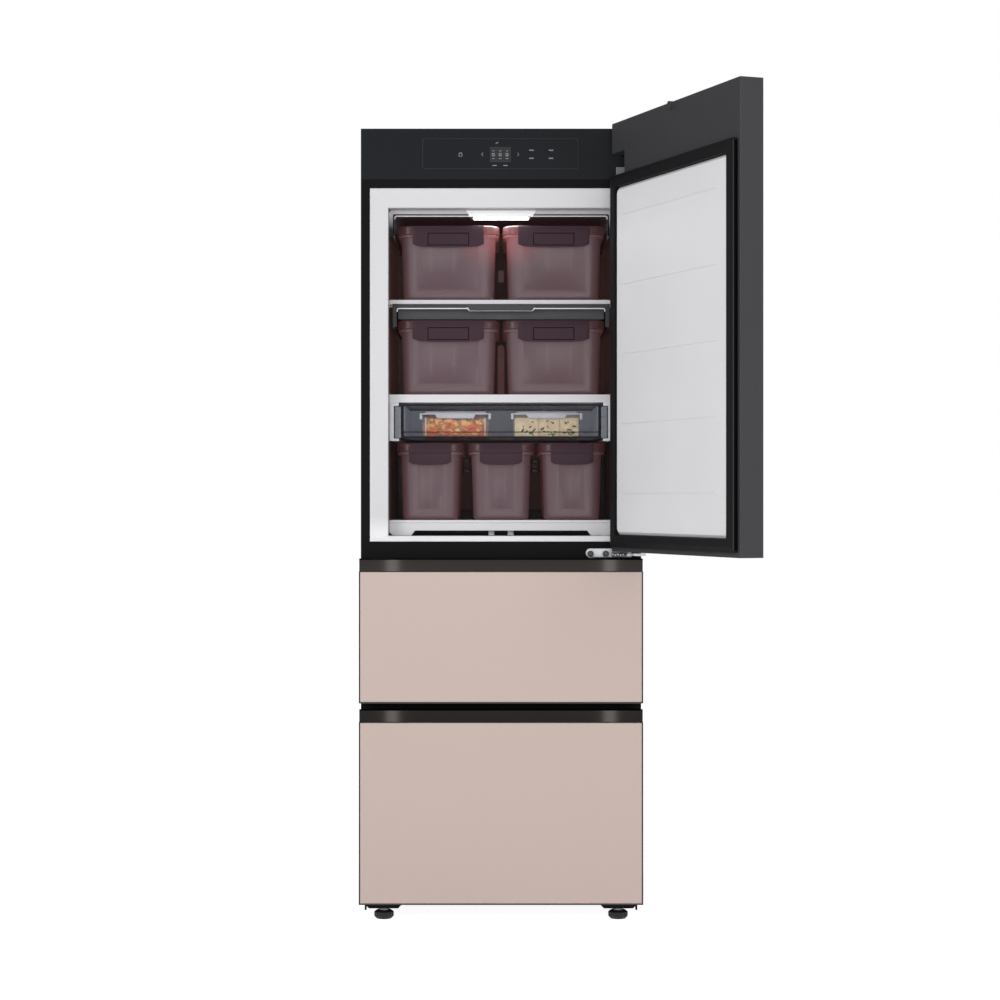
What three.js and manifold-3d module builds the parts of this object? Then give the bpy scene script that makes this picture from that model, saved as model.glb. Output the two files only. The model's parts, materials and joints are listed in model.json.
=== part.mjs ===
// Stand-type kimchi refrigerator: an upper compartment behind a swing door, and two drawers.
// Millimetres. +X is to the right seen from the front, +Y goes back, +Z goes up from the floor.
// The cabinet is drawn round its own centre line, with y = 0 on the front plane of the cabinet,
// and the finished group is moved so that its base is centred on the origin.
import * as THREE from "three";
import { mergeVertices } from "three/addons/utils/BufferGeometryUtils.js";
import Module from "manifold-3d";

const wasm = await Module();
wasm.setup();

// ---------- Sizes: fits ----------
const seat = 0.3; // left between two pieces that touch
const runClearance = 1.2; // left round a piece that slides in a channel
const over = 1; // how far a cutting tool, or a joined solid, reaches past a face
const arcSteps = 3; // straight steps in each rounded corner
const holeSteps = 8; // straight steps in each half of a round hole
const cornerShrink = 0.5; // how fast a plan outline's corners tighten as it is drawn in

// ---------- Sizes: kimchi containers ----------
const containerDepth = 382;
const containerWall = 2.5;
const containerCorner = 34; // plan radius of a container's corners
const tubDraft = 5.5; // how much narrower each side of a tub is at its bottom than at its rim
const tubFoot = 8; // how far the rounded edge of the underside goes in
const tubFootHeight = 11;
const lidOverhang = 8.5; // how far a lid stands out past the tub's wall, each side
const lidPlate = 4;
const lidSkirt = 20;
const lidEdge = 5; // the rounding of a lid's top edge
const lidDish = 1.8; // how deep the middle of a lid's top is sunk
const lidDishInset = 24;
const ridgeHeight = 5; // the ridge round a tub, under the lid
const ridgeDrop = 2; // from the lid's skirt down to the ridge
const ridgeInset = 1.5; // from the lid's edge in to the ridge's
const latchThickness = 5;
const latchHeight = 47;
const latchDrop = 1; // from a lid's top down to the top of its latch
const latchBow = 5; // how much deeper the middle of a latch's lower edge hangs
const latchCornerWidth = 14;
const latchCornerHeight = 9;
const latchHookReach = 8; // the hook that goes in under the ridge
const latchHookHeight = 5;
const latchHookGap = 0.8; // between the hook and the ridge
const latchPadRise = 5; // from a latch's lower edge up to its sunk thumb pad
const latchPadHeight = 26;
const latchPadDepth = 1.2;
const latchLineDrop = 19.5; // from a small latch's axis down to the groove across it
const latchLineHeight = 1.5;
const large = { lidWidth: 244, height: 178, latchWidth: 170, padWidth: 99 };
const small = { lidWidth: 160, height: 184, latchWidth: 101, padWidth: 0 };
const largeGap = 8; // between the two large containers on a shelf
const smallGap = 9.7; // between the small containers on the deck
const sideGap = 19; // between a large container and the compartment's wall

// ---------- Sizes: upper compartment, from its floor up ----------
const sillHeight = 13;
const deckHeight = 37;
const trayHeadroom = 4.6;
const trayRailHeight = 92;
const middleShelfThickness = 19;
const shelfHeadroom = 38;
const upperShelfThickness = 9.6;
const ceilingHeadroom = 35;
const borderTop = 45; // the liner's white border above the mouth
const borderSide = 42.5;
const borderBevel = 9; // how far the border slopes back to the mouth
const borderRim = 6; // the flat outer edge of the border
const linerWall = 2.5;
const shelfSetback = 60; // from the cabinet's front plane to the shelves' front edges
const shelfDepth = 420;
const containerSetback = 6; // from a shelf's front edge to the lids
const ledgeHeight = 8;
const ledgeGap = 1; // between a wall's ledge and the piece that hangs beside it
const bracketInset = 5.5; // from the wall to the brackets under the middle shelf
const bracketThickness = 5;
const bracketShortfall = 20; // how much shorter than the shelf a bracket is

// ---------- Sizes: deck on the compartment's floor ----------
const deckRim = 5;
const deckPlate = 20;
const deckLegWidth = 52;
const deckLegSlope = 9;
const deckChamfer = 8;
const deckBodySetback = 2; // how far the body stands back under the rim
const postOffset = 23; // from the centre line to a middle post
const postHalf = 7;
const postSetback = 30;

// ---------- Sizes: air tunnels, lamp, duct, evaporator ----------
const tunnelInset = 8.5; // from the compartment's wall to an air tunnel's skirt
const tunnelSkirt = 62;
const shelfTunnelSkirt = 56;
const shelfTunnelSetback = 6;
const tunnelWall = 3;
const tunnelCorner = 16;
const tunnelReach = 12; // how far the ceiling's tunnel comes forward of the shelves
const lampWidth = 166;
const lampDrop = 15; // how far the lamp housing hangs below the tunnel
const hangerDrop = 13; // the same housing under the upper shelf
const lampSlope = 13;
const lampDepth = 60;
const lampRim = 4; // beside the lens
const lampFrame = 6; // in front of the lens and behind it
const lampLensThickness = 3;
const ductDepth = 70; // the cold air duct on the back wall
const ductGap = 10; // between the shelves and the duct
const ductHalf = 200;
const ductFoot = 60; // from the compartment's floor up to the duct
const ductHead = 24; // from the duct up to the ceiling
const ductCorner = 20;
const ductRibHalf = 14;
const ductRibProud = 4;
const shellWall = 2.5; // moulded covers
const ventRise = 120; // from a shelf up to the duct's slots behind it
const ventRows = 3;
const ventPitch = 12;
const ventHeight = 5;
const ventInner = 70;
const ventOuter = 170;
const coilInset = 25;
const coilGap = 10; // between the duct's cover and the evaporator
const coilRise = 40;
const coilHeight = 190;
const coilBack = 12; // the uncut plate behind the fins
const finCount = 14;

// ---------- Sizes: cabinet ----------
const flangeWidth = 21.5; // the painted flange beside the liner
const headerBand = 21; // the flange above the liner, under the header
const headerHeight = 120;
const headerDepth = 20;
const backWall = 95;
const caseBottom = 40;
const machineRoomHeight = 190;
const machineRoomDepth = 178;
const machineRoomWall = 20;
const machineFloor = 4;
const coverThickness = 4;
const coverMargin = 12; // how far the machine cover reaches past the room, each way
const coverCorner = 8;
const louvreRows = 5;
const louvreColumns = 4;
const louvreMargin = 80;
const louvreRise = 50;
const louvrePitch = 24;
const louvreHeight = 9;
const louvreGap = 16;
const outletRadius = 9; // the hole for the mains lead
const outletInset = 40;
const outletRise = 26;

// ---------- Sizes: door and drawer fronts ----------
const doorGap = 13; // between the cabinet's front plane and the inner faces of the fronts
const frontThickness = 54;
const panelThickness = 4;
const panelMargin = 3; // the dark edge round each front panel
const panelBevel = 0.8;
const panelCorner = 2;
const lowerFrontBottom = 38;
const lowerFrontHeight = 456;
const frontGap = 14;
const upperFrontHeight = 338;
const doorGapBelow = 16;
const doorSill = 38.5; // from the top of the upper drawer to the liner
const doorRise = 5; // how far the door stands above the cabinet
const frontSideways = 1; // how far a drawer front reaches past the cabinet's side
const handleHeight = 30;
const handleSetback = 4;
const handleGrooveWidth = 22;
const handleGrooveDepth = 20;
const handleLip = 9;
const handleBackDrop = 5; // how much lower the groove's back edge is than its front
const handleRound = 3;
const gasketWidth = 28;
const gasketInset = 13; // from the cabinet's edge to the gasket
const gasketRelief = 0.7; // between a closed gasket and the flange
const gasketCorner = 6;
const gasketAbove = 4; // from a compartment's edge to its gasket
const gasketShoulder = 3.6; // from a gasket's sealing strip back to its full width
const gasketLean = 12; // from its outer edge in to the sealing strip
const doorGasketDrop = 12; // how far the door's gasket reaches below the liner
const doorLinerGap = 2; // between the door's gasket and its liner
const doorLinerProud = 7;
const doorLinerSunk = 4;
const doorLinerSlope = 6;
const doorLinerCorner = 10;
const ribCount = 5;
const ribHeight = 3;
const ribProud = 1.5;
const ribRise = 95; // from the bottom of the door's liner up to the first rib
const ribTopRoom = 66; // from the last rib up to the top of the liner
const ribHingeEnd = 32;
const ribFreeEnd = 48;
const doorGrooveInset = 10; // from the door's free edge to the narrow groove beside its gasket
const doorGrooveWidth = 6;
const doorGrooveDepth = 6;
const bumperRadius = 9;
const bumperHeight = 8;
const bumperRise = 1.5; // how far the bumper stands above the door's top
const doorOpenAngle = 111.1; // degrees from closed, as the door stands at rest

// ---------- Sizes: hinges ----------
const pivotInset = 31; // from the door's hinge edge to the pin
const pivotForward = 45; // from the cabinet's front plane to the pin
const pinRadius = 4;
const pinEngagement = 20;
const pinEndGap = 2; // between a pin's end and the bottom of its hole
const hingeBoss = 11;
const hingeNeckHalf = 13;
const hingeNeckTaper = 3;
const hingeArmThickness = 6;
const hingePlateThickness = 3;
const hingePocketRise = 1.5; // from the header's lower edge up to the door's hinge pocket
const hingePocketHeight = 54;
const hingePocketWidth = 76;
const hingePocketSkin = 2; // left between the pocket and the panel
const hingeEdgeChamfer = 5; // along the door's inner edge beside the pins
const hingeArmRise = 2; // from the pocket's floor up to the arm
const upperPlateHeight = 25;
const upperHingeLean = 15; // how far an arm's foot stands in from the pin
const lowerHingeLean = 6;
const lowerPlateHeight = 20.5;
const lowerPlateReach = 100; // from the pin to the plate's rounded end
const lowerPlateEnd = 8;
const lowerPlateRise = 1.5;
const lowerArmRise = 4; // from the plate's lower edge up to the arm
const stopHalf = 5;
const stopReach = 8; // how far the stop reaches past the door's edge
const screwRadius = 7.5;
const screwProud = 2;
const screwOffsets = [14, 50]; // from the plate's rounded end

// ---------- Sizes: drawers ----------
const drawerCavityBase = 36; // from the front's bottom edge up to the compartment's floor
const drawerCavityTop = 45; // from the front's top edge down to the compartment's ceiling
const drawerCavityDepth = 560;
const ringLip = 8; // how far a drawer liner's front lip reaches over the flange
const passageHalf = 40; // the air passage between the two compartments
const passageDepth = 40;
const passageBack = 20;
const railLedgeHeight = 12;
const railSetback = 4;
const armWidth = 8;
const armHeight = 30;
const armLength = 445;
const armDrop = 62; // from the compartment's ceiling to the top of the arms
const binWall = 3;
const binCorner = 24;
const binRise = 42; // how far a bin's rim stands above the arms
const binFloorGap = 8;
const binBackGap = 15; // behind both bins, up to the machines' step
const binDraft = 10;
const binFoot = 8;
const binStart = 12; // from the cabinet's front plane to the bin
const binRimThickness = 5;
const binRimOverlap = 4;
const binRimInset = 2; // from the arms' outer sides to the bin's rim

// ---------- Sizes: snack tray and side dish boxes ----------
const trayWall = 3;
const trayDepth = 365;
const trayCorner = 9;
const trayFoot = 4;
const trayFootHeight = 6;
const traySetback = 2; // from the shelf's front edge to the tray
const trayRailInset = 23; // from the compartment's wall to the lips that carry the tray
const trayRailThickness = 6;
const trayTopGap = 3;
const trayRunnerGap = 5; // between a tray's runner and the bracket beside it
const trayRunnerReach = 13; // how far a runner stands out from the tray's side
const trayRunnerHeight = 10;
const trayRunnerShortfall = 12;
const trayRibRise = 14;
const trayRibHeight = 3;
const trayRibProud = 1.5;
const trayRibInset = 20;
const boxWidth = 172;
const boxDepth = 250;
const boxHeight = 62;
const boxLidHeight = 12;
const boxWall = 2;
const boxCorner = 16;
const boxSpacing = 219; // between the centres of the two boxes
const boxSetback = 14;
const boxRim = 4; // how deep the rim round a box is
const boxFoot = 3;
const boxDraft = 6; // from a box's rim in to its bottom edge
const boxLidStep = 14; // from a lid's edge in to its raised middle
const notchHalf = 53; // the thumb notch in front of a lid's raised middle

// ---------- Sizes: feet, rollers, machines ----------
const footRadius = 23;
const footPadHeight = 17;
const footStemRadius = 6;
const footForward = 25; // from the cabinet's front plane to a foot's axis
const footInset = 56;
const footTopGap = 3; // between a foot's stem and the drawer front over it
const footBracketHeight = 13;
const footBracketHalf = 44;
const footBracketTaper = 10;
const footBracketMargin = 2; // in front of the foot
const footBracketBack = 70;
const footBracketFloor = 2;
const frontRelief = 1; // between the bracket and the drawer front over it
const hookWidth = 4;
const hookDepth = 18;
const hookDrop = 4;
const rollerRadius = 18;
const rollerWidth = 24;
const rollerRound = 3;
const rollerAxleRadius = 5;
const rollerInset = 56;
const rollerBack = 60; // from the back of the cabinet to the rollers' axle
const earHalf = 5;
const earReach = 15;
const earDrop = 8; // how far an ear reaches below the axle
const coolingFanRadius = 55;
const coolingMotorDepth = 26;
const coolingFanDrop = 110; // from the duct's top down to the fan's axis
const machineFanRadius = 62;
const machineFanX = 105;
const machineMotorDepth = 30;
const machinePostHalf = 12;
const machinePostStart = 6;
const fanHubRadius = 18;
const fanHubRound = 3;
const fanDepth = 20;
const fanBlades = 5;
const bladePitch = 35; // degrees
const bladeThickness = 2;
const compressorRadius = 72;
const compressorHeight = 142;
const compressorLift = 8;
const compressorPad = 6;
const grommetRadius = 11;
const grommetHeight = 12;
const stubRadius = 5;
const stubReach = 24;

// ---------- Worked-out sizes ----------
const cavityWidth = 2 * large.lidWidth + largeGap + 2 * sideGap;
const cavityHalf = cavityWidth / 2;
const linerHalf = cavityHalf + borderSide;
const caseHalf = linerHalf + flangeWidth;
const frontHalf = caseHalf + frontSideways;
const cavityDepth = shelfSetback + shelfDepth + ductGap + ductDepth;
const caseDepth = cavityDepth + backWall;

const lowerFrontTop = lowerFrontBottom + lowerFrontHeight;
const upperFrontBottom = lowerFrontTop + frontGap;
const upperFrontTop = upperFrontBottom + upperFrontHeight;
const doorBottom = upperFrontTop + doorGapBelow;
const linerBottom = upperFrontTop + doorSill;
const cavityFloor = linerBottom + sillHeight;
const deckTop = cavityFloor + deckHeight;
const trayRailBottom = deckTop + seat + small.height + trayHeadroom;
const middleShelfBottom = trayRailBottom + trayRailHeight;
const middleShelfTop = middleShelfBottom + middleShelfThickness;
const upperShelfBottom = middleShelfTop + seat + large.height + shelfHeadroom;
const upperShelfTop = upperShelfBottom + upperShelfThickness;
const cavityTop = upperShelfTop + seat + large.height + ceilingHeadroom;
const linerTop = cavityTop + borderTop;
const headerBottom = linerTop + headerBand;
const caseTop = headerBottom + headerHeight;
const doorTop = caseTop + doorRise;

const innerFace = -doorGap;
const outerFace = -doorGap - frontThickness;
const shelfHalf = cavityHalf - seat;
const shelfFront = shelfSetback;
const shelfBack = shelfSetback + shelfDepth;
const containerFront = shelfSetback + containerSetback;

const tunnelTop = cavityTop - seat;
const tunnelFront = shelfFront - tunnelReach;
const lampTop = tunnelTop - tunnelWall / 2;
const lampBottom = lampTop - lampDrop;
const lensHalf = lampWidth / 2 - lampSlope - lampRim;
const lensFront = tunnelFront + lampFrame;
const lensBack = tunnelFront + lampDepth - lampFrame;
const ductFront = cavityDepth - ductDepth;
const ductBack = cavityDepth - seat;
const ductBottom = cavityFloor + ductFoot;
const ductTop = cavityTop - ductHead;
const coolingFanZ = ductTop - coolingFanDrop;

const machineRoomFloor = caseBottom + machineFloor;
const machineRoomTop = machineRoomFloor + machineRoomHeight;
const machineRoomFront = caseDepth - machineRoomDepth;
const machineRoomHalf = caseHalf - machineRoomWall;
const machineRoomMiddle = machineRoomFront + machineRoomDepth / 2;
const machineCoverBottom = machineRoomFloor - machineFloor / 2;
const machineCoverTop = machineRoomTop + coverMargin;
const machineFanZ = machineRoomFloor + machineRoomHeight / 2;
const lowerCavity = { floor: lowerFrontBottom + drawerCavityBase, top: lowerFrontTop - drawerCavityTop };
const upperCavity = { floor: upperFrontBottom + drawerCavityBase, top: upperFrontTop - drawerCavityTop };
const stepFront = machineRoomFront - machineRoomWall; // the lower compartment steps up over the machines
const stepTop = machineRoomTop + machineRoomWall;
const binBack = stepFront - binBackGap;
const armOuter = cavityHalf - runClearance; // outer side of a drawer's arms
const armInner = armOuter - armWidth;

const doorHalf = caseHalf;
const pivotX = doorHalf - pivotInset;
const hingePocketBottom = headerBottom + hingePocketRise;
const hingePocketTop = hingePocketBottom + hingePocketHeight;
const upperArmBottom = hingePocketBottom + hingeArmRise;
const lowerPlateBottom = upperFrontTop + lowerPlateRise;
const gasketHalf = caseHalf - gasketInset;
const doorGasketBottom = linerBottom - doorGasketDrop;
const doorGasketTop = headerBottom;
const doorLinerHalf = gasketHalf - gasketWidth - doorLinerGap;
const doorLinerBottom = doorGasketBottom + gasketWidth + doorLinerGap;
const doorLinerTop = doorGasketTop - gasketWidth - doorLinerGap;

const trayBottom = trayRailBottom + trayRailThickness + seat;
const trayTop = middleShelfBottom - trayTopGap;
const trayFloorTop = trayBottom + trayWall;
const trayFront = shelfFront + traySetback;
const latchAxisY = -latchThickness / 2 - seat;
const latchAxisZ = (size) => size.height - latchDrop - latchThickness / 2;

// ---------- Shapes ----------
function solidOf(geometry) {
  const bare = geometry.clone();
  bare.deleteAttribute("normal");
  bare.deleteAttribute("uv");
  const merged = mergeVertices(bare, 1e-4);
  return new wasm.Manifold(
    new wasm.Mesh({
      numProp: 3,
      vertProperties: new Float32Array(merged.attributes.position.array),
      triVerts: new Uint32Array(merged.index.array),
    }),
  );
}

function geometryOf(solid) {
  const mesh = solid.getMesh();
  const indexed = new THREE.BufferGeometry()
    .setAttribute("position", new THREE.BufferAttribute(mesh.vertProperties, 3))
    .setIndex(new THREE.BufferAttribute(mesh.triVerts, 1));
  const flat = indexed.toNonIndexed();
  flat.computeVertexNormals();
  return flat;
}

const join = (first, ...more) => more.reduce((all, solid) => all.add(solid), first);
const cut = (first, ...tools) => tools.reduce((left, tool) => left.subtract(tool), first);
const bothSides = (make) => [-1, 1].map(make);

// A box between two opposite corners, given in any order.
function block(corner, opposite) {
  const size = corner.map((value, i) => Math.abs(value - opposite[i]));
  const middle = corner.map((value, i) => (value + opposite[i]) / 2);
  return solidOf(new THREE.BoxGeometry(...size).translate(...middle));
}

// A box centred across the cabinet, between two corners of its side view.
const slab = (half, [y0, z0], [y1, z1]) => block([-half, y0, z0], [half, y1, z1]);

function polygon(points) {
  return new THREE.Shape(points.map(([a, b]) => new THREE.Vector2(a, b)));
}

// Rounded rectangle, counter-clockwise, as a list of points.
function roundedOutline(a0, a1, b0, b1, radius) {
  const corners = [
    [a1 - radius, b0 + radius, -90],
    [a1 - radius, b1 - radius, 0],
    [a0 + radius, b1 - radius, 90],
    [a0 + radius, b0 + radius, 180],
  ];
  return corners.flatMap(([a, b, start]) =>
    Array.from({ length: arcSteps + 1 }, (_, i) => {
      const angle = THREE.MathUtils.degToRad(start + (90 * i) / arcSteps);
      return new THREE.Vector2(a + radius * Math.cos(angle), b + radius * Math.sin(angle));
    }),
  );
}

const roundedShape = (...sizes) => new THREE.Shape(roundedOutline(...sizes));

// A shape drawn in the plane across an axis, pushed along that axis from one place to another.
function prism(axis, shape, from, to, steps = arcSteps) {
  const geometry = new THREE.ExtrudeGeometry(shape, {
    depth: to - from,
    bevelEnabled: false,
    curveSegments: steps,
  });
  if (axis === "x") {
    const [x, y, z] = [0, 1, 2].map((i) => new THREE.Vector3().setComponent(i, 1));
    geometry.applyMatrix4(new THREE.Matrix4().makeBasis(y, z, x));
    return solidOf(geometry.translate(from, 0, 0));
  }
  if (axis === "y") return solidOf(geometry.rotateX(Math.PI / 2).translate(0, to, 0));
  return solidOf(geometry.translate(0, 0, from));
}

// A round bar along an axis, centred at a place in the plane across it.
function rod(axis, [a, b], radius, from, to, steps = holeSteps) {
  const circle = new THREE.Shape().absarc(a, b, radius, 0, 2 * Math.PI);
  return prism(axis, circle, from, to, steps);
}

// A body through a stack of outlines that all have the same number of points, from the lowest up.
function loftGeometry(rings) {
  const count = rings[0].outline.length;
  const positions = rings.flatMap(({ outline, z }) => outline.flatMap((p) => [p.x, p.y, z]));
  const index = [];
  for (let ring = 0; ring + 1 < rings.length; ring++)
    for (let i = 0; i < count; i++) {
      const a = ring * count + i;
      const b = ring * count + ((i + 1) % count);
      index.push(a, b, b + count, a, b + count, a + count);
    }
  const top = (rings.length - 1) * count;
  for (let i = 1; i + 1 < count; i++) index.push(0, i + 1, i, top, top + i, top + i + 1);
  return new THREE.BufferGeometry()
    .setAttribute("position", new THREE.Float32BufferAttribute(positions, 3))
    .setIndex(index);
}

const loft = (rings) => solidOf(loftGeometry(rings));

// A rounded plan outline drawn in from the largest one by an inset; its corners tighten with it.
function planRing({ half, front, back, corner }, inset, z) {
  const radius = corner - inset * cornerShrink;
  return { outline: roundedOutline(-half + inset, half - inset, front + inset, back - inset, radius), z };
}

// A body through upright outlines centred across the cabinet, from the foremost back.
function uprightLoft(rings) {
  const lying = rings.map(({ half, low, high, corner, y }) => ({
    outline: roundedOutline(-half, half, -high, -low, corner),
    z: y,
  }));
  return solidOf(loftGeometry(lying).rotateX(-Math.PI / 2));
}

// A round body about a vertical axis; the profile is [radius, height] from the axis and back to it.
function turned(profile, steps) {
  return new THREE.LatheGeometry(
    profile.map(([r, z]) => new THREE.Vector2(r, z)),
    steps,
  ).rotateX(Math.PI / 2);
}

// ---------- Materials ----------
const finishes = {
  steel: { color: 0x17191b, roughness: 0.45, metalness: 0.3 },
  glass: { color: 0x21262a, roughness: 0.2, metalness: 0.1 },
  liner: { color: 0xe9e9ea, roughness: 0.5, metalness: 0 },
  grey: { color: 0x6f7174, roughness: 0.5, metalness: 0 },
  lamp: { color: 0xffffff, roughness: 0.4, metalness: 0 },
  zinc: { color: 0xb4b6b8, roughness: 0.35, metalness: 0.9 },
  panel: { color: 0xc8b5ad, roughness: 0.6, metalness: 0 },
  trim: { color: 0x38393b, roughness: 0.4, metalness: 0.6 },
  rubber: { color: 0x1b1c1e, roughness: 0.8, metalness: 0 },
  tub: { color: 0x6b4f52, roughness: 0.35, metalness: 0 },
  lid: { color: 0x4c333b, roughness: 0.45, metalness: 0 },
  clear: { color: 0xc9ced2, roughness: 0.15, metalness: 0 },
  fin: { color: 0xc2c6c9, roughness: 0.4, metalness: 0.8 },
};
const material = Object.fromEntries(
  Object.entries(finishes).map(([name, values]) => [name, new THREE.MeshStandardMaterial(values)]),
);

function piece(group, name, shape, finish) {
  const geometry = shape.isBufferGeometry ? shape : geometryOf(shape);
  const mesh = new THREE.Mesh(geometry, material[finish]);
  mesh.name = name;
  group.add(mesh);
  return mesh;
}

// ---------- Cabinet ----------
// The lower compartment, grown by a wall or a clearance; it steps up over the machines.
function lowerCompartment(front, grow) {
  const side = polygon([
    [front, lowerCavity.floor - grow],
    [stepFront + grow, lowerCavity.floor - grow],
    [stepFront + grow, stepTop - grow],
    [drawerCavityDepth + grow, stepTop - grow],
    [drawerCavityDepth + grow, lowerCavity.top + grow],
    [front, lowerCavity.top + grow],
  ]);
  return prism("x", side, -cavityHalf - grow, cavityHalf + grow);
}

function upperCompartment(front, grow) {
  return slab(
    cavityHalf + grow,
    [front, upperCavity.floor - grow],
    [drawerCavityDepth + grow, upperCavity.top + grow],
  );
}

// The air passage behind the drawers, from one compartment up to the other.
function airPassage(grow, reach) {
  const back = drawerCavityDepth - passageBack;
  return slab(
    passageHalf + grow,
    [back - passageDepth - grow, lowerCavity.top - reach],
    [back + grow, upperCavity.floor + reach],
  );
}

function frontLips(grow) {
  return [lowerCavity, upperCavity].map(({ floor, top }) =>
    slab(
      cavityHalf + ringLip + grow,
      [-grow, floor - ringLip - grow],
      [linerWall + grow, top + ringLip + grow],
    ),
  );
}

function cabinetCase() {
  const grow = linerWall + seat;
  const outside = slab(caseHalf, [0, caseBottom], [caseDepth, caseTop]);
  const borderPocket = slab(
    linerHalf + seat,
    [-over, linerBottom - seat],
    [borderBevel + grow, linerTop + seat],
  );
  const compartment = slab(
    cavityHalf + grow,
    [-over, cavityFloor - grow],
    [cavityDepth + grow, cavityTop + grow],
  );
  const headerRecess = slab(
    caseHalf + over,
    [-over, headerBottom],
    [headerDepth, caseTop + over],
  );
  const machineRoom = slab(
    machineRoomHalf,
    [machineRoomFront, machineRoomFloor],
    [caseDepth + over, machineRoomTop],
  );
  const coverHalf = machineRoomHalf + coverMargin + seat;
  const coverRebate = slab(
    coverHalf,
    [caseDepth - coverThickness - 2 * seat, machineCoverBottom - seat],
    [caseDepth + over, machineCoverTop + seat],
  );
  const body = cut(
    outside,
    borderPocket,
    compartment,
    lowerCompartment(-over, grow),
    upperCompartment(-over, grow),
    ...frontLips(seat),
    airPassage(grow, 0),
    headerRecess,
    machineRoom,
    coverRebate,
  );
  return join(body, ...footBrackets(), ...rollerEars(), machineFanMotor());
}

// A plate under each front corner, with the hole for a foot's stem and a small hook outside it.
function footBrackets() {
  const bottom = caseBottom - footBracketHeight;
  const top = lowerFrontBottom - frontRelief;
  const front = -footForward - footRadius - footBracketMargin;
  const foot = footBracketHalf - footBracketTaper;
  return bothSides((side) => {
    const x = side * (caseHalf - footInset);
    const outline = polygon([
      [x - footBracketHalf, top],
      [x - foot, bottom],
      [x + foot, bottom],
      [x + footBracketHalf, top],
    ]);
    const plate = prism("y", outline, front, footBracketBack);
    const riser = block(
      [x - foot, seat, bottom + footBracketFloor],
      [x + foot, footBracketBack, caseBottom + over],
    );
    const hookX = x + side * footBracketHalf;
    const hook = block(
      [hookX, front, bottom - hookDrop],
      [hookX - side * hookWidth, front + hookDepth, top],
    );
    const hole = rod("z", [x, -footForward], footStemRadius + seat, bottom - over, top + over);
    return cut(join(plate, riser, hook), hole);
  });
}

// Ears under the back of the case, each with a slot that drops over the rollers' axle.
function rollerEars() {
  const y = caseDepth - rollerBack;
  const slot = rollerAxleRadius + seat;
  const cutHalf = earHalf + over;
  return bothSides((side) => {
    const x = side * (caseHalf - rollerInset - rollerWidth);
    const ear = block(
      [x - earHalf, y - earReach, rollerRadius - earDrop],
      [x + earHalf, y + earReach, caseBottom + over],
    );
    const way = block([x - cutHalf, y - slot, 0], [x + cutHalf, y + slot, rollerRadius]);
    return cut(ear, way, rod("x", [y, rollerRadius], slot, x - cutHalf, x + cutHalf));
  });
}

// The motor that carries the machine room's fan stands on a post on the room's floor.
function machineFanMotor() {
  const back = machineFanX + machineMotorDepth;
  const centre = [machineRoomMiddle, machineFanZ];
  const motor = rod("x", centre, fanHubRadius, machineFanX + seat, back);
  const post = block(
    [machineFanX + machinePostStart, machineRoomMiddle - machinePostHalf, machineRoomFloor - over],
    [back, machineRoomMiddle + machinePostHalf, machineFanZ],
  );
  return join(motor, post);
}

function upperLiner() {
  const border = slab(linerHalf, [0, linerBottom], [borderBevel + linerWall, linerTop]);
  const tub = slab(
    cavityHalf + linerWall,
    [borderBevel, cavityFloor - linerWall],
    [cavityDepth + linerWall, cavityTop + linerWall],
  );
  const inside = slab(cavityHalf, [-over, cavityFloor], [cavityDepth, cavityTop]);
  return join(cut(join(border, tub), inside, borderFunnel()), ...shelfLedges());
}

// The sloping face of the white border: narrow at the mouth, wide at the front plane.
function borderFunnel() {
  const corner = linerWall;
  const wide = {
    half: linerHalf - borderRim,
    low: linerBottom + borderRim / 2,
    high: linerTop - borderRim,
    corner,
  };
  const narrow = {
    half: cavityHalf - over,
    low: cavityFloor + over,
    high: cavityTop - over,
    corner,
  };
  return uprightLoft([
    { ...wide, y: -over },
    { ...wide, y: 0 },
    { ...narrow, y: borderBevel },
  ]);
}

// Moulded ledges on both walls, under the two shelves.
function shelfLedges() {
  const levels = [
    { top: upperShelfBottom - seat, room: tunnelInset },
    { top: middleShelfBottom - seat, room: bracketInset },
  ];
  return bothSides((side) =>
    levels.map(({ top, room }) =>
      block(
        [side * (cavityHalf + over), shelfFront + over, top - ledgeHeight],
        [side * (cavityHalf - room + ledgeGap), shelfBack - over, top],
      ),
    ),
  ).flat();
}

// Both drawer compartments, joined by the air passage behind them.
function drawerLiner() {
  const shell = cut(
    join(
      lowerCompartment(0, linerWall),
      upperCompartment(0, linerWall),
      airPassage(linerWall, 0),
      ...frontLips(0),
    ),
    lowerCompartment(-over, 0),
    upperCompartment(-over, 0),
    airPassage(0, 2 * linerWall),
  );
  const ledges = [lowerCavity.top, upperCavity.top].flatMap((ceiling) =>
    bothSides((side) => {
      const top = ceiling - armDrop - armHeight - seat;
      return block(
        [side * (cavityHalf + over), railSetback, top - railLedgeHeight],
        [side * armInner, armLength, top],
      );
    }),
  );
  return join(shell, ...ledges);
}

// Front fascia with the touch window, a hollow cover that closes against the case.
function headerCover() {
  const bottom = headerBottom + seat;
  const cover = slab(caseHalf, [0, bottom], [headerDepth - seat, caseTop]);
  const inside = slab(
    caseHalf - shellWall,
    [shellWall, bottom + shellWall],
    [headerDepth, caseTop - shellWall],
  );
  return cut(cover, inside);
}

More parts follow.
